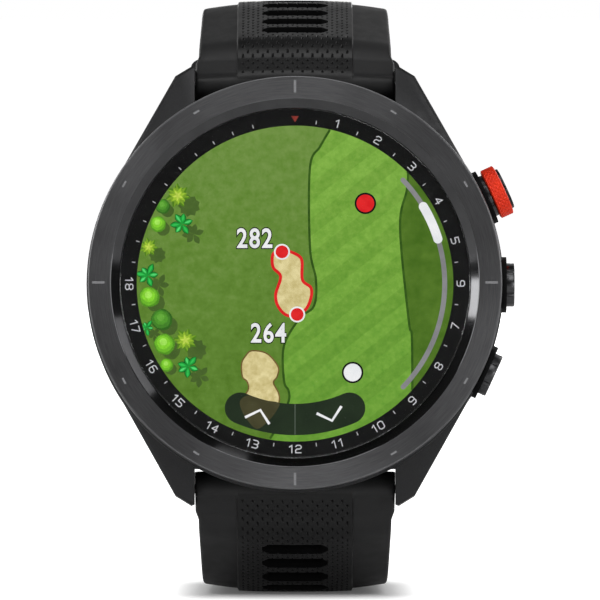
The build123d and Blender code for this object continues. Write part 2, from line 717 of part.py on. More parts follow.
# ---- keepers, buckle and tongue ----
def keeper(first, turn):
    """Loop round the upper strap's back curve with room for the other half's tail."""
    centre = side.from_local_coords(upper_centre)
    outward = -NORMAL * sin(radians(first)) + TWELVE * cos(radians(first))
    middle = (KEEPER_IN + KEEPER_CLEAR) / 2
    with BuildPart() as loop:
        with BuildSketch(Plane(origin=centre, x_dir=ACROSS, z_dir=ACROSS.cross(outward))):
            with Locations((0, middle)):
                RectangleRounded(2 * KEEPER_OUT_HALF_W, KEEPER_CLEAR - KEEPER_IN + 2 * KEEPER_WALL, 1.8)
                RectangleRounded(2 * KEEPER_HALF_W, KEEPER_CLEAR - KEEPER_IN, 0.4, mode=Mode.SUBTRACT)
        revolve(axis=Axis(centre, -ACROSS), revolution_arc=turn)
    return loop


keeper_free = keeper(*FREE_KEEPER)
keeper_fixed = keeper(*FIXED_KEEPER)

with BuildPart() as buckle_bar:
    with BuildSketch(buckle_side):
        Circle(BUCKLE_PIN_D / 2)
    extrude(amount=BUCKLE_HALF_W - 0.2, both=True)

with BuildPart() as buckle_frame:
    with BuildSketch(buckle_face):
        with Locations((0, (BUCKLE_TOP - BUCKLE_DROP) / 2)):
            RectangleRounded(2 * BUCKLE_HALF_W, BUCKLE_TOP + BUCKLE_DROP, 1.8)
        with Locations((0, BUCKLE_TOP + 1)):
            Rectangle(2 * BUCKLE_IN_HALF_W, BUCKLE_TOP + 1 + BUCKLE_DROP - BUCKLE_BAR,
                      align=(Align.CENTER, Align.MAX), mode=Mode.SUBTRACT)
    extrude(amount=BUCKLE_THICK / 2, both=True)
    flat_faces = buckle_frame.faces().filter_by(Axis.Y)
    fillet(flat_faces.sort_by(Axis.Y)[0].edges() + flat_faces.sort_by(Axis.Y)[-1].edges(), radius=BUCKLE_EDGE)
    with BuildSketch(buckle_side):
        Circle(BUCKLE_PIN_D / 2 + FIT)
    extrude(amount=STRAP_W, both=True, mode=Mode.SUBTRACT)

with BuildPart() as buckle_tongue:
    with BuildSketch(buckle_side):
        Circle(TONGUE_EYE_R)
        with BuildLine():
            Polyline((0, -TONGUE_EYE_R), (1.42, -8.8), (1.42, -12.3), (2.2, -12.3), (2.6, -11.9), (2.6, -8.6),
                     (TONGUE_EYE_R, 0), (0, 0), close=True)
        make_face()
        Circle(BUCKLE_PIN_D / 2 + FIT, mode=Mode.SUBTRACT)
    extrude(amount=TONGUE_W / 2, both=True)

pieces.update(
    bezel=bezel, lens=lens, dial_ring=dial_ring, lens_gasket=lens_gasket, display_panel=display_panel,
    case_shell=case_shell, back_cover=back_cover, back_gasket=back_gasket, sensor_window=sensor_window,
    case_screws=case_screws, charge_socket=charge_socket, charge_contacts=charge_contacts,
    sensor_board=sensor_board, mid_frame=mid_frame, main_board=main_board, battery=battery,
    vibration_motor=vibration_motor, gps_antenna=gps_antenna, button_switches=button_switches,
    button_top=button_top, button_ring=button_ring, button_end_cap=button_end_cap,
    button_middle=button_middle, button_lower=button_lower, upper_strap=upper_strap,
    lower_strap=lower_strap, keeper_free=keeper_free, keeper_fixed=keeper_fixed, buckle_bar=buckle_bar,
    buckle_frame=buckle_frame, buckle_tongue=buckle_tongue,
)

os.makedirs("parts", exist_ok=True)
for name, piece in pieces.items():
    piece.part.label = name
    export_step(piece.part, "parts/" + name + ".step")
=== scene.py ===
"""Looks of the golf GPS watch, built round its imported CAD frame. Lengths are in millimetres up to the meshes.

The dial's frame: x to 3 o'clock, v to 12 o'clock, depth from the bezel's front face towards the wrist.
"""

from math import atan2, cos, degrees, hypot, pi, radians, sin, sqrt

import bmesh
import bpy
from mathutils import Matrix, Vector
from mathutils.noise import noise


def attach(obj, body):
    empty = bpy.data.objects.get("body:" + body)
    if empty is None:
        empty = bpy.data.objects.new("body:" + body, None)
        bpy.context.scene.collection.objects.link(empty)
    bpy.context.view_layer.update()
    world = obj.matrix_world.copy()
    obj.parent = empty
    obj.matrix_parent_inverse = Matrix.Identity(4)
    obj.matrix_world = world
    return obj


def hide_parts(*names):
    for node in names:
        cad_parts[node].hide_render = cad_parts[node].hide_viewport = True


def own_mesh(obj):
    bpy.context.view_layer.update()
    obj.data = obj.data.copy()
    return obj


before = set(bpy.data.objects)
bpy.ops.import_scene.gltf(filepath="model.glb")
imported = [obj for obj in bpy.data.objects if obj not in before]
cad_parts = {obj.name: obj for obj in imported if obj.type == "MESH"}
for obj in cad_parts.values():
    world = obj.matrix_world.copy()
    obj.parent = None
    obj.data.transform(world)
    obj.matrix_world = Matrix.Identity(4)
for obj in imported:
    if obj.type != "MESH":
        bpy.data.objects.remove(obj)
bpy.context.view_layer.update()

# ---- sizes shared with the CAD parts ----
LEAN = radians(5.5)
THICKNESS = 12.8
ACROSS = Vector((1, 0, 0))
NORMAL = Vector((0, -cos(LEAN), sin(LEAN)))
TWELVE = Vector((0, sin(LEAN), cos(LEAN)))
FACE = NORMAL * THICKNESS
DISPLAY_R = 17.82
RING_R = 19.7
BUTTON_DEPTH = 4.4
BUTTONS = {"top": 24.75, "middle": 0.0, "lower": -24.75}
BAR_DEPTH = 8.2
BAR_HEIGHT = 22.9
BAND = 2.6
PANEL_RISE = 0.3
PANEL_HALF = 6.475
STRAP_HALF = 11.0
CREST_HALF = 10.5
TAIL_HALF = 10.0
NOSE_EXTRA = 0.33
SLOT_START = 8.3
SLOT_PITCH = 3.38
SLOT_SCALE = {1: 0.8, -1: 1.0}  # the upper half's slots are narrower and closer together
HOLE_START = 62.0
FLOOR_Z = -0.0351
SKY = 0.08


def spot(x, v, depth):
    """Point of the dial's frame, in metres in the row frame."""
    return (FACE + ACROSS * x + TWELVE * v - NORMAL * depth) / 1000


def outwards(angle):
    """Direction in the dial's plane, in degrees from 3 o'clock towards 12."""
    return ACROSS * cos(radians(angle)) + TWELVE * sin(radians(angle))


# ---- meshes ----
def linked(name, data):
    """New object in the scene."""
    obj = bpy.data.objects.new(name, data)
    bpy.context.scene.collection.objects.link(obj)
    return obj


def repaint(mesh, material):
    """Give a mesh one material."""
    mesh.materials.clear()
    mesh.materials.append(material)


def smooth_shading(obj, angle, smooth=True):
    """Smooth shading, except at edges sharper than angle."""
    obj.data.polygons.foreach_set("use_smooth", [smooth] * len(obj.data.polygons))
    obj.data.set_sharp_from_angle(angle=radians(angle))


def face_outwards(mesh, merge=0.0):
    """Join points closer than merge, then turn the faces outwards."""
    work = bmesh.new()
    work.from_mesh(mesh)
    if merge:
        bmesh.ops.remove_doubles(work, verts=work.verts, dist=merge)
    bmesh.ops.recalc_face_normals(work, faces=work.faces)
    work.to_mesh(mesh)
    work.free()


def evaluated(obj):
    """Mesh of an object with its modifiers applied."""
    bpy.context.view_layer.update()
    graph = bpy.context.evaluated_depsgraph_get()
    return bpy.data.meshes.new_from_object(obj.evaluated_get(graph))


def piece(name, points, faces, body, materials, angle=30, face_slots=None, replaces=(), smooth=True):
    """Mesh object from points in metres, shaded smooth except at edges sharper than angle."""
    mesh = bpy.data.meshes.new(name)
    mesh.from_pydata([tuple(p) for p in points], [], faces)
    for material in materials:
        mesh.materials.append(material)
    if face_slots:
        mesh.polygons.foreach_set("material_index", face_slots)
    return settle(linked(name, mesh), body, angle, replaces, smooth)


def settle(obj, body, angle=30, replaces=(), smooth=True):
    """Shade an object, let it ride on its body, and hide the CAD parts that it replaces."""
    smooth_shading(obj, angle, smooth)
    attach(obj, body)
    for node in replaces:
        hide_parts(node)
    return obj


def apply_modifiers(obj):
    """Put an object's modifiers into its mesh."""
    mesh = evaluated(obj)
    obj.modifiers.clear()
    obj.data = mesh


def softened(node, material, width, body, segments=2):
    """Stand-in for a CAD node with its edges rounded by width."""
    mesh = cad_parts[node].data.copy()
    work = bmesh.new()
    work.from_mesh(mesh)
    bmesh.ops.remove_doubles(work, verts=work.verts, dist=2e-6)
    bmesh.ops.dissolve_limit(work, angle_limit=radians(0.6), verts=work.verts, edges=work.edges)
    work.to_mesh(mesh)
    work.free()
    repaint(mesh, material)
    obj = linked(node + "_finish", mesh)
    rounding = obj.modifiers.new("rounding", "BEVEL")
    rounding.width = width / 1000
    rounding.segments = segments
    rounding.limit_method = "ANGLE"
    rounding.angle_limit = radians(28)
    even = obj.modifiers.new("even", "WEIGHTED_NORMAL")
    even.keep_sharp = True
    apply_modifiers(obj)
    return settle(obj, body, 40, [node])


def turned(name, profile, body, materials, origin=FACE, axis=-NORMAL, first=ACROSS, steps=256, height=None,
           replaces=(), slots=None, closed=True, crease=30):
    """Ring or disc turned about an axis from (radius, distance along the axis) corners.

    height(angle from first, corner number) moves a point outwards, for knurls and flutes.
    """
    second = axis.cross(first)
    points, faces, marks = [], [], []
    rows = len(profile)
    for step in range(steps):
        turn = 2 * pi * step / steps
        out = first * cos(turn) + second * sin(turn)
        for number, (radius, along) in enumerate(profile):
            grown = radius + (height(turn, number) if height else 0)
            points.append((origin + axis * along + out * grown) / 1000)
    for step in range(steps):
        here, there = step * rows, (step + 1) % steps * rows
        for row in range(rows if closed else rows - 1):
            after = (row + 1) % rows
            faces.append((here + row, there + row, there + after, here + after))
            marks.append(slots[row] if slots else 0)
    face_outwards(piece(name, points, faces, body, materials, crease, marks, replaces).data, 1e-7)


def smooth_line(corners, closed=False, steps=8):
    """Points of a Catmull-Rom line through corners."""
    count = len(corners)
    spans = count if closed else count - 1
    line = []
    for span in range(spans):
        near = [span + k for k in (-1, 0, 1, 2)]
        near = [k % count if closed else min(max(k, 0), count - 1) for k in near]
        a, b, c, d = (Vector(corners[k]) for k in near)
        for step in range(steps):
            t = step / steps
            line.append(0.5 * (2 * b + (c - a) * t + (2 * a - 5 * b + 4 * c - d) * t * t
                               + (3 * b - a - 3 * c + d) * t * t * t))
    if not closed:
        line.append(Vector(corners[-1]))
    return [(p[0], p[1]) for p in line]


def on_circle(radius, angle, centre=(0, 0)):
    """Point of a circle; angle in degrees clockwise from 12 o'clock."""
    return centre[0] + radius * sin(radians(angle)), centre[1] + radius * cos(radians(angle))


def arc(radius, start, end, steps=48, centre=(0, 0)):
    """Points of an arc."""
    return [on_circle(radius, start + (end - start) * k / steps, centre) for k in range(steps + 1)]


class Sheet:
    """Flat shapes at slightly different depths, gathered into one mesh."""

    def __init__(self):
        self.points, self.faces, self.marks, self.materials = [], [], [], []

    def add(self, outline, depth, material):
        """One closed outline."""
        start = len(self.points)
        self.points += [spot(x, v, depth) for x, v in outline]
        turn = sum(a[0] * b[1] - b[0] * a[1] for a, b in zip(outline, outline[1:] + outline[:1]))
        order = range(start, start + len(outline))
        self.faces.append(tuple(order) if turn > 0 else tuple(reversed(order)))
        self.mark(material, 1)

    def add_band(self, left, right, depth, material):
        """Strip between two lines with the same number of points."""
        start, count = len(self.points), len(left)
        self.points += [spot(x, v, depth) for x, v in left + right]
        self.faces += [(start + k, start + k + 1, start + count + k + 1, start + count + k)
                       for k in range(count - 1)]
        self.mark(material, count - 1)

    def add_mesh(self, points, faces, depth, material):
        """Flat mesh of (x, v) points."""
        start = len(self.points)
        self.points += [spot(x, v, depth) for x, v in points]
        self.faces += [tuple(start + k for k in face) for face in faces]
        self.mark(material, len(faces))

    def mark(self, material, count):
        """Give the last faces their material."""
        if material not in self.materials:
            self.materials.append(material)
        self.marks += [self.materials.index(material)] * count

    def build(self, name, body):
        """The sheet as one piece."""
        return piece(name, self.points, self.faces, body, self.materials, face_slots=self.marks, smooth=False)


def line_band(line, width):
    """Both edges of a line drawn this wide."""
    left, right = [], []
    for k, (x, v) in enumerate(line):
        before, after = line[max(k - 1, 0)], line[min(k + 1, len(line) - 1)]
        along = Vector((after[0] - before[0], after[1] - before[1])).normalized()
        left.append((x - along.y * width / 2, v + along.x * width / 2))
        right.append((x + along.y * width / 2, v - along.x * width / 2))
    return left, right


def lettering(text, height, bold, squeeze):
    """Flat mesh of numerals in the built-in font, centred, with this height."""
    curve = bpy.data.curves.new("numeral", "FONT")
    curve.body = text
    curve.size = 1
    curve.offset = bold
    curve.space_character = 1.12
    curve.resolution_u = 4
    obj = linked("numeral", curve)
    mesh = evaluated(obj)
    xs = [p.co.x for p in mesh.vertices]
    ys = [p.co.y for p in mesh.vertices]
    scale = height / (max(ys) - min(ys) - 2 * bold)
    middle_x, middle_y = (max(xs) + min(xs)) / 2, (max(ys) + min(ys)) / 2
    points = [((p.co.x - middle_x) * scale * squeeze, (p.co.y - middle_y) * scale) for p in mesh.vertices]
    faces = [tuple(face.vertices) for face in mesh.polygons]
    bpy.data.objects.remove(obj)
    return points, faces


DIGIT_PITCH = 5.5
STROKES = {  # lines of each numeral in a box 4 wide and 6 high
    "0": [[(1, 0), (3, 0), (4, 1), (4, 5), (3, 6), (1, 6), (0, 5), (0, 1), (1, 0)]],
    "1": [[(0.4, 4.6), (2.2, 6), (2.2, 0)]],
    "2": [[(0, 5), (1, 6), (3, 6), (4, 5), (4, 4), (3, 3), (1, 3), (0, 2), (0, 0), (4, 0)]],
    "3": [[(0, 6), (3, 6), (4, 5), (4, 4), (3, 3), (1, 3)], [(3, 3), (4, 2), (4, 1), (3, 0), (0, 0)]],
    "4": [[(3, 0), (3, 6), (0, 2), (4, 2)]],
    "5": [[(4, 6), (0, 6), (0, 3.3), (3, 3.3), (4, 2.4), (4, 1), (3, 0), (0, 0)]],
    "6": [[(3.6, 6), (1, 6), (0, 5), (0, 1), (1, 0), (3, 0), (4, 1), (4, 2.4), (3, 3.3), (0, 3.3)]],
    "7": [[(0, 6), (4, 6), (1.4, 0)]],
    "8": [[(1, 3), (0, 2), (0, 1), (1, 0), (3, 0), (4, 1), (4, 2), (3, 3), (1, 3), (0, 4), (0, 5), (1, 6),
           (3, 6), (4, 5), (4, 4), (3, 3)]],
    "9": [[(0.4, 0), (3, 0), (4, 1), (4, 5), (3, 6), (1, 6), (0, 5), (0, 3.6), (1, 2.7), (4, 2.7)]],
}


def stroked(text, height, width):
    """Bands of a number's strokes, centred on the origin."""
    scale = height / 6
    bands = []
    for place, digit in enumerate(text):
        shift = (place - (len(text) - 1) / 2) * DIGIT_PITCH - 2
        for line in STROKES[digit]:
            corners = [((x * 1.1 - 0.2 + shift) * scale, (y - 3) * scale) for x, y in line]
            bands += [line_band([a, b], width) for a, b in zip(corners, corners[1:])]
            bands += [knot(corner, width) for corner in corners]
    return bands


def knot(centre, width):
    """Round end of a stroke, as two lines of points."""
    return arc(width / 2, 0, 180, 6, centre), arc(width / 2, 360, 180, 6, centre)


def moved(points, turn, centre=(0, 0)):
    """Points turned clockwise by an angle in degrees, then moved."""
    c, s = cos(radians(turn)), sin(radians(turn))
    return [(centre[0] + x * c + y * s, centre[1] - x * s + y * c) for x, y in points]


# ---- materials ----
class Paint:
    """Procedural material with helpers for its nodes."""

    def __init__(self, name, roughness=0.5, metallic=0.0, **sockets):
        """Principled material; sockets are named with underscores for spaces."""
        self.material = bpy.data.materials.new(name)
        self.material.use_nodes = True
        self.nodes = self.material.node_tree.nodes
        self.links = self.material.node_tree.links
        self.shader = self.nodes["Principled BSDF"]
        self.shader.inputs["Roughness"].default_value = roughness
        self.shader.inputs["Metallic"].default_value = metallic
        for socket, value in sockets.items():
            self.shader.inputs[socket.replace("_", " ")].default_value = value

    def place(self, scale=(1, 1, 1), dial=False):
        """Object coordinates in millimetres, or the dial's own x, v and height."""
        where = self.nodes.new("ShaderNodeTexCoord").outputs["Object"]
        if dial:
            turn = self.nodes.new("ShaderNodeMapping")
            turn.vector_type = "TEXTURE"
            turn.inputs["Location"].default_value = FACE / 1000
            turn.inputs["Rotation"].default_value = (pi / 2 - LEAN, 0, 0)
            self.links.new(where, turn.inputs["Vector"])
            where = turn.outputs["Vector"]
        grow = self.nodes.new("ShaderNodeMapping")
        grow.inputs["Scale"].default_value = [1000 * s for s in scale]
        self.links.new(where, grow.inputs["Vector"])
        return grow.outputs["Vector"]

    def clouds(self, where, scale, detail=3.0, roughness=0.5):
        """Noise value."""
        node = self.nodes.new("ShaderNodeTexNoise")
        node.inputs["Scale"].default_value = scale
        node.inputs["Detail"].default_value = detail
        node.inputs["Roughness"].default_value = roughness
        self.links.new(where, node.inputs["Vector"])
        return node.outputs["Fac"]

    def ramp(self, value, *stops):
        """Colour from a value, by (position, colour) stops."""
        node = self.nodes.new("ShaderNodeValToRGB")
        elements = node.color_ramp.elements
        while len(elements) < len(stops):
            elements.new(0.5)
        for element, (position, colour) in zip(elements, stops):
            element.position = position
            element.color = (*colour, 1)
        self.links.new(value, node.inputs["Fac"])
        return node.outputs["Color"]

    def spread(self, value, low, high, start=0.3, end=0.7):
        """Value between low and high as the input goes from start to end."""
        node = self.nodes.new("ShaderNodeMapRange")
        for socket, number in zip(("From Min", "From Max", "To Min", "To Max"), (start, end, low, high)):
            node.inputs[socket].default_value = number
        self.links.new(value, node.inputs["Value"])
        return node.outputs["Result"]

    def math(self, operation, first, second=None):
        """Result of arithmetic on sockets or numbers."""
        node = self.nodes.new("ShaderNodeMath")
        node.operation = operation
        for number, value in enumerate((first, second)):
            if isinstance(value, (int, float)):
                node.inputs[number].default_value = value
            elif value is not None:
                self.links.new(value, node.inputs[number])
        return node.outputs[0]

    def length(self, first, second):
        """Length of a vector with these two parts."""
        squares = self.math("MULTIPLY", first, first), self.math("MULTIPLY", second, second)
        return self.math("SQRT", self.math("ADD", *squares))

    def parts(self, where):
        """X, Y and Z of a vector."""
        node = self.nodes.new("ShaderNodeSeparateXYZ")
        self.links.new(where, node.inputs["Vector"])
        return node.outputs["X"], node.outputs["Y"], node.outputs["Z"]

    def relief(self, value, distance, strength):
        """Bump from a value; distance in millimetres."""
        node = self.nodes.new("ShaderNodeBump")
        node.inputs["Strength"].default_value = strength
        node.inputs["Distance"].default_value = distance / 1000
        self.links.new(value, node.inputs["Height"])
        self.set("Normal", node.outputs["Normal"])

    def set(self, socket, value):
        """Link a value to the shader."""
        self.links.new(value, self.shader.inputs[socket])


def grey(value, tint=1.03):
    """Grey, a little blue unless tint is 1."""
    return (value, value, value * tint)


def speckled(name, dark, light, roughness, grain, bump, metallic=0.0, spread=0.08, **sockets):
    """Surface with fine grain in its colour, gloss and relief."""
    paint = Paint(name, roughness, metallic, **sockets)
    where = paint.place()
    fine = paint.clouds(where, grain, 4)
    broad = paint.clouds(where, grain * 0.06, 2)
    paint.set("Base Color", paint.ramp(fine, (0.3, dark), (0.7, light)))
    paint.set("Roughness", paint.spread(broad, roughness - spread, roughness + spread))
    paint.relief(fine, bump, 0.6)
    return paint.material


def brushed(name, dark, light, roughness, ring=True, anisotropy=0.75):
    """Metal brushed round the dial's axis, or along x."""
    paint = Paint(name, roughness, 1.0, Anisotropic=anisotropy)
    where = paint.place(dial=True)
    if ring:
        x, v, _ = paint.parts(where)
        joined = paint.nodes.new("ShaderNodeCombineXYZ")
        paint.links.new(paint.length(x, v), joined.inputs["X"])
        paint.links.new(paint.math("MULTIPLY", paint.math("ARCTAN2", x, v), 0.8), joined.inputs["Y"])
        lines = paint.clouds(joined.outputs["Vector"], 9, 6, 0.7)
        tangent = paint.nodes.new("ShaderNodeTangent")
        tangent.direction_type = "RADIAL"
        tangent.axis = "Y"
        paint.set("Tangent", tangent.outputs["Tangent"])
    else:
        lines = paint.clouds(paint.place((0.05, 1, 1)), 9, 6, 0.7)
    broad = paint.clouds(where, 0.12, 2)
    paint.set("Base Color", paint.ramp(lines, (0.3, dark), (0.7, light)))
    paint.set("Roughness", paint.spread(broad, roughness - 0.04, roughness + 0.04))
    paint.relief(lines, 0.0035, 0.35)
    return paint.material


def lit(name, stops, scale, detail=4, slope=0.0):
    """Part of the lit display: its light varies with noise, and by slope from 6 to 12 o'clock."""
    paint = Paint(name, 0.4)
    where = paint.place(dial=True)
    value = paint.clouds(where, scale, detail, 0.6)
    if slope:
        value = paint.math("ADD", value, paint.math("MULTIPLY", paint.parts(where)[1], slope / DISPLAY_R))
    paint.set("Emission Color", paint.ramp(value, *stops))
    paint.shader.inputs["Emission Strength"].default_value = 1
    paint.shader.inputs["Base Color"].default_value = (0, 0, 0, 1)
    paint.shader.inputs["Specular IOR Level"].default_value = 0
    return paint.material


def srgb(*values):
    """Linear colour from 0-255 display values."""
    shares = [value / 255 for value in values]
    return tuple(v / 12.92 if v <= 0.04045 else ((v + 0.055) / 1.055) ** 2.4 for v in shares)


bezel_metal = brushed("bezel_metal", grey(0.125), grey(0.20), 0.36)
mirror_cut = speckled("bezel_mirror_cut", grey(0.09), grey(0.11), 0.10, 0.4, 0.0001, 1.0, 0.02)
bezel_mark = speckled("bezel_mark", grey(0.26), grey(0.32), 0.6, 6, 0.001, 0.3)
case_metal = speckled("case_metal", grey(0.038), grey(0.052), 0.45, 14, 0.004, 0.85)
cover_plastic = speckled("cover_plastic", grey(0.012), grey(0.020), 0.55, 9, 0.006)
# Near-black plastic of the button bosses; the strap's slot and hole walls also use it as painted shade inside
# those recesses.
boss_plastic_and_slot_shade = speckled("boss_plastic_and_slot_shade", grey(0.002), grey(0.004), 0.6, 9, 0.003, Specular_IOR_Level=0.12)
steel = brushed("bright_steel", grey(0.42), grey(0.60), 0.3, ring=False, anisotropy=0.3)
black_steel = speckled("black_steel", grey(0.035), grey(0.055), 0.33, 8, 0.002, 0.9)
button_metal = speckled("button_metal", grey(0.075), grey(0.11), 0.28, 3, 0.0004, 1.0)
# The red ring also glows a little: painted light that brightens its red.
red_metal_painted_glow = speckled("red_metal_painted_glow", (0.78, 0.028, 0.007), (0.95, 0.045, 0.01), 0.4, 2, 0.001, 0.2,
                      Specular_IOR_Level=0.3, Emission_Color=(1, 0.05, 0.012, 1), Emission_Strength=0.1)
gold = speckled("contact_gold", (0.62, 0.42, 0.13), (0.80, 0.58, 0.22), 0.25, 5, 0.001, 1.0)
board_green = speckled("board_green", (0.005, 0.05, 0.02), (0.01, 0.09, 0.035), 0.4, 4, 0.003)
inner_plastic = speckled("inner_plastic", grey(0.06), grey(0.09), 0.6, 6, 0.004)
foil = speckled("battery_foil", grey(0.45), grey(0.60), 0.35, 3, 0.01, 0.6)
seal_rubber = speckled("seal_rubber", grey(0.02), grey(0.03), 0.7, 8, 0.004)
silicone = speckled("strap_silicone", grey(0.012), grey(0.018), 0.5, 11, 0.006, 0.0, 0.05,
                    Specular_IOR_Level=0.4)
# The panel's silicone is darker than the sides: painted shade standing in for the shadows in its fine dimples.
panel_silicone_painted_shade = speckled("panel_silicone_painted_shade", grey(0.006), grey(0.009), 0.34, 11, 0.004, 0.0, 0.05,
                          Specular_IOR_Level=0.35)
ring_black = speckled("ring_black", grey(0.003), grey(0.005), 0.5, 3, 0.0005, Specular_IOR_Level=0.2)
# The printed numerals' grey also glows a little: painted light, so the numerals stay bright behind the lens.
print_grey_painted_glow = speckled("print_grey_painted_glow", grey(0.85), grey(0.92), 0.5, 10, 0.0005, Emission_Color=(1, 1, 1, 1),
                      Emission_Strength=0.2)
print_red = speckled("print_red", (0.70, 0.05, 0.03), (0.80, 0.09, 0.05), 0.5, 10, 0.0005)
window_dark = speckled("window_dark", grey(0.008), grey(0.012), 0.08, 1.0, 0.0004, 0.0, 0.03, Coat_Weight=0.5)

lens_paint = Paint("lens_glass", 0.02, Transmission_Weight=1.0, IOR=1.5)
lens_tint = lens_paint.clouds(lens_paint.place(), 0.1, 2)
lens_paint.set("Base Color", lens_paint.ramp(lens_tint, (0.3, (0.97, 0.98, 0.99)), (0.7, (0.99, 0.99, 1.0))))
lens_glass = lens_paint.material

# ---- bezel: brushed face, mirror-cut slope, engraved marks ----
slope = [(19.74, 0.97), (19.80, 0.905), (19.85, 0.857), (20.65, 0.093), (20.70, 0.045)]
face_and_rim = [
    (20.76, 0.008), (20.84, 0.0), (20.92, 0.0), (23.02, 0.0), (23.10, 0.0), (23.18, 0.015), (23.25, 0.06),
    (23.29, 0.13), (23.30, 0.22), (23.30, 0.3), (23.30, 2.6), (19.74, 2.6),
]
turned("bezel_finish", slope + face_and_rim, "case", [bezel_metal, mirror_cut], steps=360,
       slots=[1] * len(slope) + [0] * len(face_and_rim), replaces=["bezel"], crease=20)


def radial_mark(half, inner, outer):
    """Rectangle at 12 o'clock between two radii."""
    return [(-half, inner), (half, inner), (half, outer), (-half, outer)]


marks = Sheet()
for hour in range(12):
    shape = radial_mark(0.135, 21.4, 22.8) if hour % 3 == 0 else radial_mark(0.375, 22.05, 22.27)
    marks.add(moved(shape, 30 * hour), -0.004, bezel_mark)
marks.build("bezel_marks", "case")

# ---- printed ring ----
PRINT_DEPTH = 2.19
NUMERAL_R = 18.66
FIRST_INVERTED = 6  # from this numeral on, their heads point at the dial's centre
turned("ring_plate", [(DISPLAY_R + 0.01, 2.2), (RING_R, 2.2), (RING_R, 2.3), (DISPLAY_R + 0.01, 2.3)], "case",
       [ring_black], replaces=["dial_ring"])
ring = Sheet()
for number in range(1, 19):
    angle = 15 * number
    centre = on_circle(NUMERAL_R, angle)
    turn = angle + (180 if number >= FIRST_INVERTED else 0)
    for left, right in stroked(str(number), 0.84, 0.13):
        ring.add_band(moved(left, turn, centre), moved(right, turn, centre), PRINT_DEPTH, print_grey_painted_glow)
for step in range(48):
    angle = 7.5 * step
    numbered = step % 2 == 0 and angle < 272
    if not numbered and 7 < angle < 350:
        ring.add(moved(radial_mark(0.05, 18.12, 18.52), angle), PRINT_DEPTH, print_grey_painted_glow)
ring.add([(-0.42, 18.9), (0.42, 18.9), (0.0, 18.2)], PRINT_DEPTH, print_red)
ring.build("ring_print", "case")

# ---- display: golf hole map ----
grass = lit("map_grass", [(0.15, srgb(82, 120, 34)), (0.5, srgb(100, 138, 52)), (0.85, srgb(120, 152, 74))],
            1.1, 9, 0.22)
fairway = lit("map_fairway", [(0.2, srgb(98, 150, 48)), (0.5, srgb(111, 161, 56)), (0.8, srgb(128, 174, 68))],
              1.6, 3, 0.2)
stripe = lit("map_stripe", [(0.2, srgb(104, 158, 52)), (0.5, srgb(120, 170, 62)), (0.8, srgb(136, 184, 74))],
             1.6, 3, 0.2)
rough = lit("map_rough", [(0.3, srgb(68, 106, 26)), (0.7, srgb(90, 126, 42))], 0.6, 6)
border = lit("map_border", [(0.4, srgb(46, 82, 20)), (0.6, srgb(58, 96, 26))], 1.0)
sand = lit("map_sand", [(0.35, srgb(206, 190, 128)), (0.65, srgb(236, 222, 164))], 1.1, 5)
sand_edge = lit("map_sand_edge", [(0.4, srgb(104, 84, 44)), (0.6, srgb(128, 104, 58))], 1.0)
red = lit("map_red", [(0.4, srgb(222, 30, 34)), (0.6, srgb(234, 40, 42))], 1.0)
white = lit("map_white", [(0.4, srgb(236, 238, 240)), (0.6, srgb(250, 250, 250))], 0.4)
black = lit("map_black", [(0.4, srgb(10, 12, 12)), (0.6, srgb(16, 18, 18))], 0.4)
track = lit("map_track", [(0.4, srgb(130, 130, 131)), (0.6, srgb(142, 142, 143))], 0.4)
bar_dark = lit("map_bar", [(0.3, srgb(30, 42, 28)), (0.7, srgb(38, 52, 34))], 0.3)
divider = lit("map_divider", [(0.4, srgb(92, 104, 92)), (0.6, srgb(102, 114, 100))], 0.4)
bar_sand = lit("map_bar_sand", [(0.4, srgb(66, 64, 40)), (0.6, srgb(74, 72, 46))], 0.5)
bush_shadow = lit("map_shade", [(0.3, srgb(66, 94, 38)), (0.7, srgb(80, 108, 46))], 0.8)
bush_tones = {
    "star": (srgb(84, 132, 30), srgb(126, 168, 44), srgb(158, 198, 52), srgb(196, 222, 84)),
    "round": (srgb(84, 150, 34), srgb(112, 188, 44), srgb(136, 216, 52), srgb(168, 236, 92)),
    "dark": (srgb(50, 104, 30), srgb(68, 132, 40), srgb(84, 156, 46), srgb(104, 176, 60)),
    "emerald": (srgb(14, 92, 34), srgb(30, 158, 58), srgb(52, 198, 84), srgb(88, 222, 116)),
}
bush_paints = {}
for kind, tones in bush_tones.items():
    bush_paints[kind] = []
    for k, tone in enumerate(tones):
        stops = [(0.3, [0.85 * part for part in tone]), (0.7, [1.15 * part for part in tone])]
        bush_paints[kind].append(lit(f"map_{kind}_{k}", stops, 2.5))

left_edge = [
    (3.93, 17.34), (2.81, 15.43), (1.68, 13.07), (1.68, 4.09), (2.36, 0.38), (2.13, -2.54), (0.56, -3.89),
    (-1.24, -7.03), (-1.24, -10.96), (-0.73, -12.08), (-0.73, -13.32), (-1.8, -15.79), (-2.81, -17.5),
]
right_edge = [(12.76, 12.73), (12.58, 10.49), (11.82, 6.33), (12.80, -4.22), (13.14, -5.91), (13.20, -12.03)]


def clipped(points, radius=DISPLAY_R):
    """Points pulled in to the display's edge."""
    found = []
    for x, v in points:
        far = hypot(x, v)
        shrink = min(1.0, radius / far) if far else 1.0
        found.append((x * shrink, v * shrink))
    return found


def clock(point):
    """Direction of a point, in degrees clockwise from 12 o'clock."""
    return degrees(atan2(point[0], point[1]))


left_line = clipped(smooth_line(left_edge))
right_line = clipped(smooth_line(right_edge))
fairway_outline = (left_line + arc(DISPLAY_R, clock(left_line[-1]) % 360, clock(right_line[-1]), 40)
                   + right_line[::-1] + arc(DISPLAY_R, clock(right_line[0]), clock(left_line[0]), 24))
rough_outline = right_line + arc(DISPLAY_R, clock(right_line[-1]), clock(right_line[0]), 40)

# The map's layers lie a few microns apart, from the grass at 2.24 forward to the labels at 2.186.
sheet = Sheet()
sheet.add(arc(DISPLAY_R, 0, 358, 179), 2.24, grass)
sheet.add(fairway_outline, 2.235, fairway)
sheet.add(rough_outline, 2.235, rough)

STRIPE_TURN = 52  # degrees clockwise from 12 o'clock that the mowing stripes run
STRIPE_WIDTH = 1.55


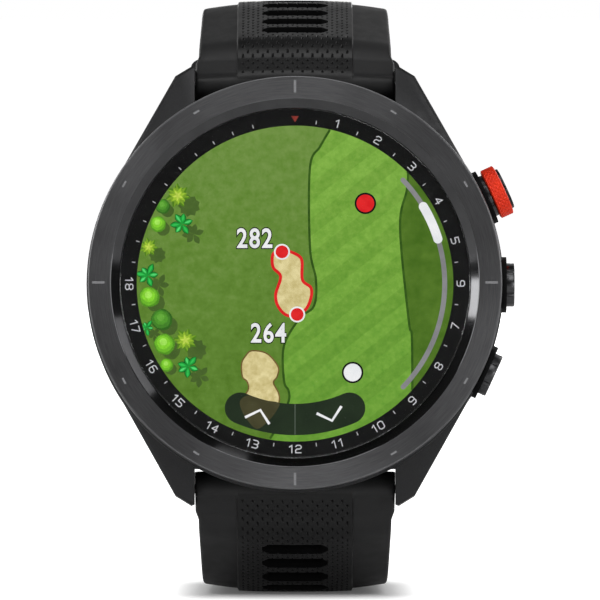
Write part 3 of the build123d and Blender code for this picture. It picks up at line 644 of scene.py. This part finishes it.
def half_plane(outline, normal, offset):
    """The part of an outline on the far side of a line."""
    kept = []
    for a, b in zip(outline, outline[1:] + outline[:1]):
        da = a[0] * normal[0] + a[1] * normal[1] - offset
        db = b[0] * normal[0] + b[1] * normal[1] - offset
        if da >= 0:
            kept.append(a)
        if (da >= 0) != (db >= 0):
            t = da / (da - db)
            kept.append((a[0] + (b[0] - a[0]) * t, a[1] + (b[1] - a[1]) * t))
    return kept


across = (cos(radians(STRIPE_TURN)), -sin(radians(STRIPE_TURN)))
for number in range(-12, 18):
    low = number * 2 * STRIPE_WIDTH
    strip = half_plane(fairway_outline, across, low)
    strip = half_plane(strip, (-across[0], -across[1]), -low - STRIPE_WIDTH)
    if len(strip) > 2:
        sheet.add(strip, 2.23, stripe)
for line in (left_line, right_line):
    sheet.add_band(*line_band(line, 0.26), 2.225, border)


PLANT_EDGE = 17.8  # plants stop this far from the display's centre


def leaf(x, v, angle, length, width, depth, material, bend=0.0, fullness=1.2):
    """Pointed leaf from a stem, cut at the display's edge."""
    shares = [k / 8 for k in range(9)]
    line = [(t * length, width * sin(pi * t ** fullness) + bend * t * t) for t in shares]
    line += [(t * length, -width * sin(pi * t ** fullness) + bend * t * t) for t in shares[-2:0:-1]]
    c, s = cos(angle), sin(angle)
    sheet.add(clipped([(x + a * c - b * s, v + a * s + b * c) for a, b in line], PLANT_EDGE), depth, material)


def crown(x, v, size, depth, material, ragged, seed, spikes=30):
    """Ragged round outline of a bush."""
    outline = []
    for k in range(spikes * 2):
        t = pi * k / spikes
        reach = size * (1 + ragged * (k % 2) + 0.09 * noise((seed + 2 * cos(t), seed + 2 * sin(t), size)))
        outline.append((x + reach * cos(t), v + reach * sin(t)))
    sheet.add(clipped(outline, PLANT_EDGE), depth, material)


def bush(x, v, size, kind):
    """Plant seen from above, with its shadow to the lower right."""
    tones = bush_paints[kind]
    turn = (x * 7.3 + v * 3.1) % 6.28
    far = (x + 0.95 * size, v - 0.85 * size)
    if kind in ("round", "dark"):
        crown(far[0] - 0.3 * size, far[1] + 0.25 * size, 0.9 * size, 2.2225, bush_shadow, 0.03, x)
        crown(x, v, size, 2.218, tones[0], 0.07, x)
        crown(x - 0.05 * size, v + 0.07 * size, 0.86 * size, 2.217, tones[1], 0.09, v)
        crown(x - 0.08 * size, v + 0.16 * size, 0.62 * size, 2.216, tones[2], 0.12, x + v)
        crown(x - 0.1 * size, v + 0.24 * size, 0.34 * size, 2.215, tones[3], 0.15, x - v, 20)
    elif kind == "emerald":
        for k in range(6):
            angle = turn + pi / 3 * k + 0.25 * sin(5 * k + x)
            reach = size * (0.95 + 0.2 * sin(3 * k + v))
            leaf(far[0], far[1], angle, reach * 0.95, 0.24 * size, 2.2225, bush_shadow)
            leaf(x, v, angle, reach, 0.27 * size, 2.218 - 0.0003 * k, tones[0])
            leaf(x, v, angle, reach * 0.97, 0.2 * size, 2.2155 - 0.0003 * k, tones[1], 0.02)
            leaf(x + 0.2 * size * cos(angle), v + 0.2 * size * sin(angle), angle + 0.04, reach * 0.68,
                 0.09 * size, 2.213 - 0.0003 * k, tones[2 + k % 2])
    else:
        crown(far[0], far[1], 0.75 * size, 2.2225, bush_shadow, 0.25, x, 9)
        for layer, (count, grow) in enumerate(((7, 1.08), (7, 0.8), (5, 0.5))):
            for k in range(count):
                angle = turn + 2 * pi * (k + 0.45 * layer) / count
                depth = 2.218 - 0.002 * layer - 0.0001 * k
                wide = size * (0.34 - 0.05 * layer)
                leaf(x, v, angle, size * grow, wide, depth, tones[layer], fullness=0.6)
                leaf(x, v, angle + 0.08, size * grow * 0.92, 0.4 * wide, depth - 0.0008, tones[layer + 1],
                     fullness=0.7)


for x, v, size, kind in (
        (-14.9, 8.7, 0.8, "dark"), (-13.2, 9.9, 1.35, "star"), (-15.43, 6.7, 0.85, "round"),
        (-12.72, 6.7, 1.35, "emerald"), (-16.5, 4.1, 1.05, "star"), (-16.6, 0.9, 1.35, "emerald"),
        (-16.4, -1.55, 1.1, "round"), (-15.0, -4.1, 1.15, "dark"), (-16.7, -5.0, 0.9, "emerald"),
        (-12.35, -6.4, 1.3, "star"), (-14.7, -6.85, 1.12, "round"), (-14.45, -9.2, 0.72, "round"),
        (-12.0, -9.35, 1.35, "emerald")):
    bush(x, v, size, kind)

green_bunker = [
    (-2.47, 3.30), (-2.47, 1.84), (-1.62, 0.76), (-2.18, -1.30), (-1.80, -2.76), (-0.67, -3.66),
    (1.01, -3.10), (1.73, -1.86), (1.80, -0.52), (0.84, 0.38), (0.79, 2.40), (0.45, 3.08), (-0.51, 3.56),
    (-1.57, 3.78),
]
lower_bunker = [
    (-4.83, -7.59), (-3.14, -7.93), (-1.91, -9.39), (-2.02, -10.51), (-2.43, -11.19), (-1.84, -12.42),
    (-1.84, -13.54), (-2.6, -15.2), (-4.27, -16.46), (-5.7, -15.2), (-6.29, -13.54), (-5.28, -12.03),
    (-5.39, -11.07), (-5.91, -10.51), (-6.0, -9.05), (-5.54, -8.15),
]
for corners, edge, width in ((green_bunker, red, 0.34), (lower_bunker, sand_edge, 0.16)):
    outline = smooth_line(corners, closed=True, steps=6)
    sheet.add(outline, 2.212, sand)
    sheet.add_band(*line_band(outline + outline[:2], width), 2.208, edge)

PILL_R = 15.335  # the dark bar's middle line, from the display's centre
PILL_HALF = 1.765
PILL_TURN = 23.6  # degrees from 6 o'clock to each end
left_end = on_circle(PILL_R, 180 + PILL_TURN)
right_end = (-left_end[0], left_end[1])
pill = arc(PILL_R + PILL_HALF, 180 - PILL_TURN, 180 + PILL_TURN, 40)
pill += arc(PILL_HALF, 180 + PILL_TURN, 360 + PILL_TURN, 16, left_end)[1:-1]
pill += arc(PILL_R - PILL_HALF, 180 + PILL_TURN, 180 - PILL_TURN, 40)
pill += arc(PILL_HALF, -PILL_TURN, 180 - PILL_TURN, 16, right_end)[1:-1]
sheet.add(pill, 2.204, bar_dark)
under_pill = [(-1.84, -13.45), (-2.0, -14.2), (-2.8, -15.3), (-4.27, -16.4), (-5.5, -15.2), (-6.15, -13.9),
              (-6.1, -13.1), (-5.2, -12.62), (-3.5, -13.15)]
sheet.add(smooth_line(under_pill, closed=True, steps=5), 2.202, bar_sand)
sheet.add([(-0.04, -13.62), (0.04, -13.62), (0.04, -17.05), (-0.04, -17.05)], 2.2, divider)
for chevron in ([(-5.63, -15.10), (-3.90, -14.27), (-2.89, -15.85)],
                [(2.43, -14.64), (4.16, -15.47), (5.22, -13.83)]):
    sheet.add_band(*line_band(chevron, 0.3), 2.198, white)

TRACK_R = 16.85
TRACK_ENDS = (46.2, 133.8)
sheet.add_band(*line_band(arc(TRACK_R, *TRACK_ENDS), 0.56), 2.206, track)
for angle in TRACK_ENDS:
    sheet.add(arc(0.28, 0, 350, 24, on_circle(TRACK_R, angle)), 2.205, track)
thumb = arc(TRACK_R, 59, 72.7, 24)
sheet.add_band(*line_band(thumb, 1.02), 2.2, white)
for end in (thumb[0], thumb[-1]):
    sheet.add(arc(0.51, 0, 350, 24, end), 2.199, white)
for x, v, inner, outer, fill, rim in (
        (7.92, 9.03, 1.0, 1.21, red, black), (6.48, -10.04, 1.0, 1.21, white, black),
        (-1.47, 3.56, 0.72, 0.9, red, white), (0.24, -3.5, 0.72, 0.9, red, white)):
    sheet.add(arc(outer, 0, 352, 44, (x, v)), 2.196, rim)
    sheet.add(arc(inner, 0, 352, 44, (x, v)), 2.193, fill)
LABEL_HEIGHT = 2.15
LABEL_SQUEEZE = 0.82
for text, centre in (("282", (-4.55, 5.10)), ("264", (-2.98, -5.57))):
    for bold, depth, paint in ((0.06, 2.19, black), (0.02, 2.186, white)):
        letters, faces = lettering(text, LABEL_HEIGHT, bold, LABEL_SQUEEZE)
        sheet.add_mesh(moved(letters, 0, centre), faces, depth, paint)
sheet.build("display_map", "case")
panel_profile = [(0, 2.26), (DISPLAY_R, 2.26), (DISPLAY_R, 2.31), (18.4, 2.31), (18.4, 3.6), (0, 3.6)]
turned("display_body", panel_profile, "case", [ring_black], replaces=["display_panel"], closed=False)
lens_profile = [(0, 0.95), (19.5, 0.95), (19.6, 0.95), (19.67, 0.98), (19.70, 1.05), (19.70, 1.15),
                (19.70, 2.05), (19.70, 2.15), (19.6, 2.15), (0, 2.15)]
turned("lens_finish", lens_profile, "case", [lens_glass], replaces=["lens"], closed=False)

# ---- case, back and inner parts ----
BOSS_START = 23.0
BOSS_R = 3.2
case = softened("case_shell", case_metal, 0.16, "case")
case.data.materials.append(boss_plastic_and_slot_shade)
for face in case.data.polygons:
    away = face.center * 1000 - FACE + NORMAL * BUTTON_DEPTH
    for angle in BUTTONS.values():
        out = outwards(angle)
        reach = away.dot(out)
        if reach > BOSS_START and (away - out * reach).length < BOSS_R:
            face.material_index = 1
softened("back_cover", cover_plastic, 0.12, "case")
softened("sensor_window", window_dark, 0.08, "case")
softened("case_screws", steel, 0.04, "case")
softened("charge_socket", cover_plastic, 0.05, "case")
inner = {
    "charge_contacts": gold, "sensor_board": board_green, "mid_frame": inner_plastic,
    "main_board": board_green, "battery": foil, "vibration_motor": steel, "gps_antenna": gold,
    "button_switches": inner_plastic, "lens_gasket": seal_rubber, "back_gasket": seal_rubber,
}
for place in BUTTONS:
    inner["button_seal_" + place] = seal_rubber
    inner["button_clip_" + place] = steel
for place in ("upper", "lower"):
    inner["bar_tube_" + place] = steel
    inner["bar_latch_" + place] = steel
for node, material in inner.items():
    repaint(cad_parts[node].data, material)


def sprung(node, body):
    """Steel copy of a return spring, riding on its body."""
    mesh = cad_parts[node].data.copy()
    repaint(mesh, steel)
    obj = settle(linked(node + "_finish", mesh), body, replaces=[node])
    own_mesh(obj)


for place, angle in BUTTONS.items():
    out = outwards(angle)
    sprung("button_spring_" + place, "case")
for place, end in (("upper", 1), ("lower", -1)):
    sprung("bar_spring_" + place, place + "_strap")

# ---- side buttons ----
# Corners are (radius, distance from the dial's axis), and the stem has grooves for its seal and clip.
STEM = [(1.1, 23.82), (1.1, 21.11), (0.69, 21.11), (0.69, 20.69), (1.1, 20.69), (1.1, 19.43), (0.69, 19.43),
        (0.69, 19.08), (1.1, 19.08), (1.1, 18.9), (0, 18.9)]
FLUTES = 6
FLUTE_DEPTH = 0.17
FLUTE_HALF = 0.09  # half-width, as a share of the pitch


def fluted(first, last):
    """Flutes on the corners from first to last."""
    def height(turn, number):
        """Depth of a flute, as a negative height."""
        away = (turn / (2 * pi) * FLUTES) % 1 - 0.5
        return -FLUTE_DEPTH * max(0.0, 1 - (away / FLUTE_HALF) ** 2) if first <= number <= last else 0
    return height


def button(name, place, profile, material, **more):
    """Turned piece on a button's axis."""
    origin = FACE - NORMAL * BUTTON_DEPTH
    turned(name, profile, "button_" + place, [material], origin, outwards(BUTTONS[place]), NORMAL, **more)


cap = [(0, 24.62), (1.75, 24.62), (1.85, 24.73), (2.32, 24.73), (2.41, 24.70), (2.45, 24.62), (2.45, 24.0),
       (2.45, 23.84), (2.4, 23.82)]
for place in ("middle", "lower"):
    button(f"button_{place}_finish", place, cap + STEM, button_metal, steps=320, closed=False,
           height=fluted(3, 8), replaces=["button_" + place])
neck = [(0, 25.86), (2.09, 25.86), (2.09, 24.31), (2.3, 24.3), (2.42, 24.26), (2.45, 24.18), (2.45, 24.0),
        (2.45, 23.84), (2.4, 23.82)]
button("button_top_finish", "top", neck + STEM, button_metal, steps=320, closed=False,
       height=fluted(3, 8), replaces=["button_top"])

KNURLS = 30
KNURL_DEPTH = 0.08
KNURL_ROWS = 32
KNURL_START = 24.42
KNURL_LENGTH = 1.33
KNURL_TURNS = 2.6  # ridges crossed from one end of the knurl to the other
FIRST_KNURLED = 3
knurl_span = [KNURL_START + KNURL_LENGTH * k / KNURL_ROWS for k in range(KNURL_ROWS + 1)]


def wedge(value):
    """Triangle wave between 0 and 1."""
    return abs(value % 1 * 2 - 1)


def knurled(turn, number):
    """Diamond knurl: the lower of two crossing sets of ridges."""
    if not FIRST_KNURLED <= number <= FIRST_KNURLED + KNURL_ROWS:
        return 0
    around = turn / (2 * pi) * KNURLS
    along = (knurl_span[number - FIRST_KNURLED] - KNURL_START) / KNURL_LENGTH * KNURL_TURNS
    ridge = min(1.0, 1.25 * min(wedge(around + along), wedge(around - along)) + 0.02)
    return KNURL_DEPTH * ridge - KNURL_DEPTH


ring_profile = ([(2.13, 24.30), (2.72, 24.30), (2.88, 24.38)] + [(2.94, along) for along in knurl_span]
                + [(2.88, 25.80), (2.74, 25.87), (2.13, 25.87)])
button("button_ring_finish", "top", ring_profile, red_metal_painted_glow, steps=KNURLS * 8, height=knurled,
       replaces=["button_ring"], crease=24)
end_cap = [(0, 26.1), (1.7, 26.1), (1.78, 26.2), (2.28, 26.2), (2.36, 26.16), (2.38, 26.08), (2.38, 25.875),
           (0, 25.875)]
button("button_end_cap_finish", "top", end_cap, black_steel, closed=False, replaces=["button_end_cap"])

# ---- strap halves ----
ROW = 0.2112  # length of the mesh's rows along the strap
COLUMNS = 92
NOSE = 2.0  # half-thickness round the quick-release bar
NOSE_RUN = 2.8
TIP = 1.9  # half-thickness round the buckle bar
TIP_RUN = 4
ROUND_STEPS = 10
TAIL_CORNER = 7.5
CROWN = 0.16
SIDE_DROP = 0.46
SOFT_EDGE = 0.4
PANEL_SLOPE = 0.14  # width of the slope from the panel down to the sides
PANEL_TOP = BAND / 2 + PANEL_RISE
DIMPLE_DEPTH = 0.22
DIMPLE_RATE = 0.25 / ROW  # dimples per millimetre, fewer near the nose
NOSE_RATE = 0.86
NOSE_ROWS = 12.0


def strap_path(end):
    """Runs of the centre line from the bar as (length, radius, turn); a curved run's length is 0 here."""
    if end > 0:
        crest, flat, radius, turn, tail = 26, 3.6, 22.4, 84.5, 5.5
    else:
        crest, flat, radius, turn, tail = 31.5, 20, 25.4, 90, 31
    return [(NOSE_RUN, 0, 0), (0, 4.4, 38), (8.6, 0, 0), (0, 12.4, crest), (flat, 0, 0), (0, radius, turn),
            (tail, 0, 0)]


def run_on(end, place, heading, length, radius, turn):
    """Place and heading after a run that is straight, or bends round the wrist if it has a radius."""
    if not radius:
        return place + Vector((cos(heading), sin(heading))) * length, heading
    bent = heading - end * radians(turn)
    centre = place - Vector((-sin(heading), cos(heading))) * radius * end
    return centre - Vector((sin(bent), -cos(bent))) * radius * end, bent


def walk(end):
    """Points (distance, place, heading) along a half's centre line, with places as (depth, v)."""
    place = Vector((BAR_DEPTH, end * BAR_HEIGHT))
    heading = radians(64) * end
    found = []
    gone = 0.0
    for length, radius, turn in strap_path(end):
        if radius:
            length = radius * radians(turn)
        count = max(1, round(length / ROW))
        for k in range(count):
            t = k / count
            found.append((gone + length * t, *run_on(end, place, heading, length * t, radius, turn * t)))
        place, heading = run_on(end, place, heading, length, radius, turn)
        gone += length
    found.append((gone, place, heading))
    return found


def limited(value):
    """Value kept between 0 and 1."""
    return min(max(value, 0.0), 1.0)


def strap_width(end, gone, total, depth):
    """Half-width of the strap, narrower further back, and rounded at the tail's end."""
    if end < 0 and gone > total - TAIL_CORNER:
        return TAIL_HALF - TAIL_CORNER + sqrt(max(TAIL_CORNER ** 2 - (gone - total + TAIL_CORNER) ** 2, 0.04))
    crest = (CREST_HALF - STRAP_HALF) * limited((depth - 7) / 19)
    tail = (TAIL_HALF - CREST_HALF) * limited((depth - 26) / 10)
    return STRAP_HALF + crest + tail + NOSE_EXTRA * limited(3.6 - gone)


def strap_stations(walked, tip):
    """Sections as (distance, place, heading, half-thickness), rounded at the nose and, if any, the tip."""
    _, first, first_heading = walked[0]
    total, last, last_heading = walked[-1]
    stations = []
    for k in range(ROUND_STEPS):
        angle = pi / 2 * k / ROUND_STEPS
        stations.append((-NOSE * cos(angle), first, first_heading, NOSE * max(sin(angle), 0.03)))
    for gone, place, heading in walked:
        half = BAND / 2
        if gone < NOSE_RUN:
            half = NOSE + (half - NOSE) * gone / NOSE_RUN
        if tip and gone > total - TIP_RUN:
            half += (tip - half) * (gone - total + TIP_RUN) / TIP_RUN
        stations.append((gone, place, heading, half))
    if tip:
        for k in range(1, ROUND_STEPS + 1):
            angle = pi / 2 * k / ROUND_STEPS
            stations.append((total + tip * sin(angle), last, last_heading, tip * max(cos(angle), 0.03)))
    return stations


def dimple_rows(gone):
    """Rows of dimples passed at this distance."""
    return DIMPLE_RATE * gone + (DIMPLE_RATE - NOSE_RATE) * max(0.0, NOSE_ROWS - gone) ** 2 / (2 * NOSE_ROWS)


def strap_panel(panel_half, half, flat, before, rows):
    """Raised, crowned panel of a section; its dimples lie where a new row of them starts."""
    panel = []
    for column in range(COLUMNS + 1):
        x = (column / COLUMNS * 2 - 1) * panel_half
        height = half + PANEL_RISE * flat - CROWN * flat * (x / PANEL_HALF) ** 2
        stagger = 0.5 if column % 8 else 0
        new_row = int(rows + stagger) > int(before + stagger)
        if new_row and column % 4 == 0 and 0 < column < COLUMNS and PANEL_RISE * flat > 0.25:
            height -= DIMPLE_DEPTH
        panel.append((x, height))
    return panel


def strap_side(panel_half, width, half, flat):
    """Right side of a section, from the panel's edge down and round to the inner face."""
    edge = half - CROWN * flat
    start = panel_half + PANEL_SLOPE
    run = width - start - SOFT_EDGE
    side = [(panel_half + 0.05, edge + PANEL_RISE * flat * 0.6), (start, edge)]
    for k in range(1, 7):
        side.append((start + run * k / 6, edge - SIDE_DROP * flat * (k / 6) ** 1.2))
    soft = min(SOFT_EDGE, half * 0.5)
    low = side[-1][1]
    for angle in (30, 60, 90):
        side.append((width - soft + soft * sin(radians(angle)), low - soft * (1 - cos(radians(angle)))))
    for angle in (0, 30, 60, 90):
        side.append((width - soft * (1 - cos(radians(angle))), -half + soft - soft * sin(radians(angle))))
    return side


def strap(end, node, walked):
    """Strap half swept along its centre line, with its raised and dimpled panel."""
    total = walked[-1][0]
    points, faces, slots = [], [], []
    before = 0.0
    for index, (gone, place, heading, half) in enumerate(strap_stations(walked, TIP if end > 0 else 0.0)):
        along = Vector((cos(heading), sin(heading)))
        outward = Vector((-along.y, along.x)) * end
        centre = place + along * (gone - min(max(gone, 0), total))
        width = strap_width(end, gone, total, centre.x)
        flat = limited(gone + 0.4) * limited((total - 1 - gone) / 3)
        panel_half = min(PANEL_HALF, width - 1.0)
        rows = dimple_rows(gone)
        side = strap_side(panel_half, width, half, flat)
        inner_half = side[-1][0]
        section = strap_panel(panel_half, half, flat, before, rows) + side
        section += [(inner_half * x / 10, -half) for x in range(9, -10, -1)]
        section += [(-x, height) for x, height in side[::-1]]
        before = rows
        for x, height in section:
            at = centre + outward * height
            points.append(spot(x, at.y, at.x))
        size = len(section)
        if index:
            low, high = (index - 1) * size, index * size
            for k in range(size):
                after = (k + 1) % size
                faces.append((low + k, low + after, high + after, high + k))
                # Panel faces take the darker silicone, which holds the painted shade of the dimples.
                slots.append(1 if k <= COLUMNS and PANEL_RISE * flat > 0.05 else 0)
    faces += [tuple(range(size)), tuple(range(len(points) - size, len(points)))]
    slots += [0, 0]
    band = piece(node + "_band", points, faces, node, [silicone, panel_silicone_painted_shade], 35, slots)
    face_outwards(band.data)
    return band


def cutter(outline, place, outward, length_way, low, high):
    """Prism through an outline of (x, along) points, from low to high along outward; all in (depth, v)."""
    points = []
    for height in (low, high):
        for x, along in outline:
            at = place + length_way * along + outward * height
            points.append(spot(x, at.y, at.x))
    count = len(outline)
    faces = [(k, (k + 1) % count, count + (k + 1) % count, count + k) for k in range(count)]
    faces += [tuple(range(count))[::-1], tuple(range(count, 2 * count))]
    return points, faces


def cut(obj, prisms):
    """Take prisms out of an object; the new faces get its last material."""
    points, faces = [], []
    for more, sides in prisms:
        start = len(points)
        points += more
        faces += [tuple(start + k for k in face) for face in sides]
    mesh = bpy.data.meshes.new("cutter")
    mesh.from_pydata([tuple(p) for p in points], [], faces)
    for material in obj.data.materials:
        mesh.materials.append(material)
    mesh.polygons.foreach_set("material_index", [len(mesh.materials) - 1] * len(faces))
    tool = linked("cutter", mesh)
    face_outwards(mesh)
    rule = obj.modifiers.new("cut", "BOOLEAN")
    rule.operation = "DIFFERENCE"
    rule.solver = "EXACT"
    rule.object = tool
    apply_modifiers(obj)
    bpy.data.objects.remove(tool)


def at_distance(walked, end, distance):
    """Place on the centre line where the panel's top has run this far, and the directions there."""
    gone = 0.0
    last = None
    for _, place, heading in walked:
        outward = Vector((-sin(heading), cos(heading))) * end
        face = place + outward * PANEL_TOP
        if last is not None:
            gone += (face - last).length
        last = face
        if gone >= distance:
            break
    return place, outward, Vector((cos(heading), sin(heading)))


SLOTS = 5
SLOT_DEPTH = 1.3
SLOT_SHAPE = [(-3.75, -0.35), (-3.75, 0.35), (-3.1, 1.0), (-2.95, 1.1), (2.95, 1.1), (3.1, 1.0), (3.75, 0.35),
              (3.75, -0.35), (3.1, -1.0), (2.95, -1.1), (-2.95, -1.1), (-3.1, -1.0)]
HOLES = 7
HOLE_PITCH = 2 * SLOT_PITCH
HOLE_SHIFT = 0.7  # half the straight part of a hole 2 mm across its round ends
hole_shape = []
for k in range(24):
    turn = 2 * pi * (k + 0.5) / 24
    hole_shape.append((HOLE_SHIFT * (1 if cos(turn) > 0 else -1) + cos(turn), sin(turn)))
for end, node in ((1, "upper_strap"), (-1, "lower_strap")):
    walked = walk(end)
    band = strap(end, node, walked)
    # Slot and hole walls take the near-black boss plastic: painted shade inside the recesses.
    band.data.materials.append(boss_plastic_and_slot_shade)
    slot_shape = [(x, along * SLOT_SCALE[end]) for x, along in SLOT_SHAPE]
    prisms = []
    for number in range(SLOTS):
        there = at_distance(walked, end, SLOT_START + number * SLOT_PITCH * SLOT_SCALE[end])
        prisms.append(cutter(slot_shape, *there, PANEL_TOP - SLOT_DEPTH, 4))
    for number in range(HOLES if end < 0 else 0):
        there = at_distance(walked, end, HOLE_START + number * HOLE_PITCH)
        prisms.append(cutter(hole_shape, *there, -4, 4))
    cut(band, prisms)
    smooth_shading(band, 35)
    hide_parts(node)

# ---- keepers and buckle ----
softened("keeper_free", silicone, 0.35, "keeper_free", 3)
softened("keeper_fixed", silicone, 0.35, "upper_strap", 3)
softened("buckle_frame", black_steel, 0.3, "buckle_frame", 3)
softened("buckle_tongue", black_steel, 0.2, "buckle_tongue", 3)
softened("buckle_bar", black_steel, 0.1, "upper_strap")

# ---- floor: white to the camera, with the strap's soft contact shadow painted into its glow ----
SHADOW_HALF = 9.5
SHADOW_SIDE_FALL = 2.2
SHADOW_MIDDLE = 13
SHADOW_REACH = 7
FLOOR_R = 60
floor_paint = Paint("floor_white", 0.8)
floor_x, floor_y, _ = floor_paint.parts(floor_paint.place())
aside = floor_paint.math("SUBTRACT", floor_paint.math("ABSOLUTE", floor_x), SHADOW_HALF)
aside = floor_paint.math("MULTIPLY", floor_paint.math("MAXIMUM", aside, 0), SHADOW_SIDE_FALL)
ahead = floor_paint.math("ABSOLUTE", floor_paint.math("SUBTRACT", floor_y, SHADOW_MIDDLE))
ahead = floor_paint.math("MAXIMUM", floor_paint.math("SUBTRACT", ahead, SHADOW_REACH), 0)
away = floor_paint.length(aside, ahead)
# The glow darkens near the strap's footprint: a painted shadow, which stays in place when the strap moves.
floor_paint.set("Emission Color", floor_paint.ramp(
    floor_paint.math("MULTIPLY", away, 0.05), (0, grey(0.06, 1)), (0.2, grey(0.28, 1)), (0.5, grey(0.78, 1)),
    (0.75, grey(0.93, 1)), (1, grey(1, 1))))
floor_paint.set("Base Color", floor_paint.ramp(floor_paint.clouds(floor_paint.place(), 0.02, 2),
                                               (0.3, grey(0.78, 1)), (0.7, grey(0.82, 1))))
floor_ray = floor_paint.nodes.new("ShaderNodeLightPath")
floor_paint.set("Emission Strength", floor_ray.outputs["Is Camera Ray"])
floor_mesh = bpy.data.meshes.new("floor")
floor_rim = [(FLOOR_R * cos(pi * k / 24), FLOOR_R * sin(pi * k / 24), FLOOR_Z) for k in range(48)]
floor_mesh.from_pydata(floor_rim, [], [range(48)])
floor_mesh.materials.append(floor_paint.material)
linked("floor", floor_mesh)

# ---- light ----
world = bpy.data.worlds.new("studio")
bpy.context.scene.world = world
world.use_nodes = True
sky = world.node_tree.nodes
white_sky = sky["Background"]
white_sky.inputs["Color"].default_value = (1, 1, 1, 1)
dim_sky = sky.new("ShaderNodeBackground")
dim_sky.inputs["Strength"].default_value = SKY
sky_ray = sky.new("ShaderNodeLightPath")
choice = sky.new("ShaderNodeMixShader")
world.node_tree.links.new(sky_ray.outputs["Is Camera Ray"], choice.inputs["Fac"])
world.node_tree.links.new(dim_sky.outputs["Background"], choice.inputs[1])
world.node_tree.links.new(white_sky.outputs["Background"], choice.inputs[2])
world.node_tree.links.new(choice.outputs["Shader"], sky["World Output"].inputs["Surface"])


def lamp(name, place, size, power):
    """Soft rectangular light, turned to the origin."""
    data = bpy.data.lights.new(name, "AREA")
    data.shape = "RECTANGLE"
    data.size, data.size_y = size
    data.energy = power
    obj = linked(name, data)
    obj.location = place
    obj.rotation_euler = (Vector((0, 0, 0)) - Vector(place)).to_track_quat("-Z", "Y").to_euler()


lamp("left_box", (-0.75, -0.3, 0.15), (0.3, 0.6), 1.3)
lamp("right_box", (0.75, -0.35, 0.1), (0.3, 0.6), 1.2)
lamp("top_box", (0, -0.3, 0.75), (0.7, 0.4), 1.7)
lamp("front_box", (0.35, -0.9, 0.75), (0.5, 0.4), 1.6)
lamp("front_left_box", (-0.55, -0.8, 0.02), (0.3, 0.3), 1.3)
lamp("front_right_box", (0.55, -0.8, 0.02), (0.3, 0.3), 1.6)
lamp("left_strip", (-0.7, -0.03, 0.11), (0.16, 0.15), 0.42)
lamp("right_strip", (0.66, 0.01, 0.35), (0.12, 0.34), 0.16)
lamp("upper_strip", (0.24, 0.05, 0.7), (0.05, 0.12), 0.024)
lamp("upper_streak", (-0.38, -0.5, 0.62), (0.09, 0.09), 0.35)
lamp("back_box", (0.2, 0.8, 0.6), (0.7, 0.5), 0.5)
lamp("back_left_box", (-0.7, 0.6, 0.4), (0.6, 0.5), 2.0)
lamp("back_right_box", (0.7, 0.6, 0.4), (0.6, 0.5), 2.0)
lamp("back_low_box", (0.0, 0.9, 0.1), (0.5, 0.2), 1.2)

# ---- camera ----
ELEVATION = radians(2.0)
LENS = 534
target = Vector((0.00056, FACE.y / 1000, FACE.z / 1000 - 0.00198))
camera_data = bpy.data.cameras.new("camera")
camera_data.sensor_width = 36
camera_data.lens = LENS
camera_data.clip_end = 20
camera = linked("camera", camera_data)
camera.location = target + Vector((0, -cos(ELEVATION), sin(ELEVATION)))
camera.rotation_euler = (target - camera.location).to_track_quat("-Z", "Y").to_euler()
bpy.context.scene.camera = camera
bpy.context.scene.view_settings.view_transform = "Standard"
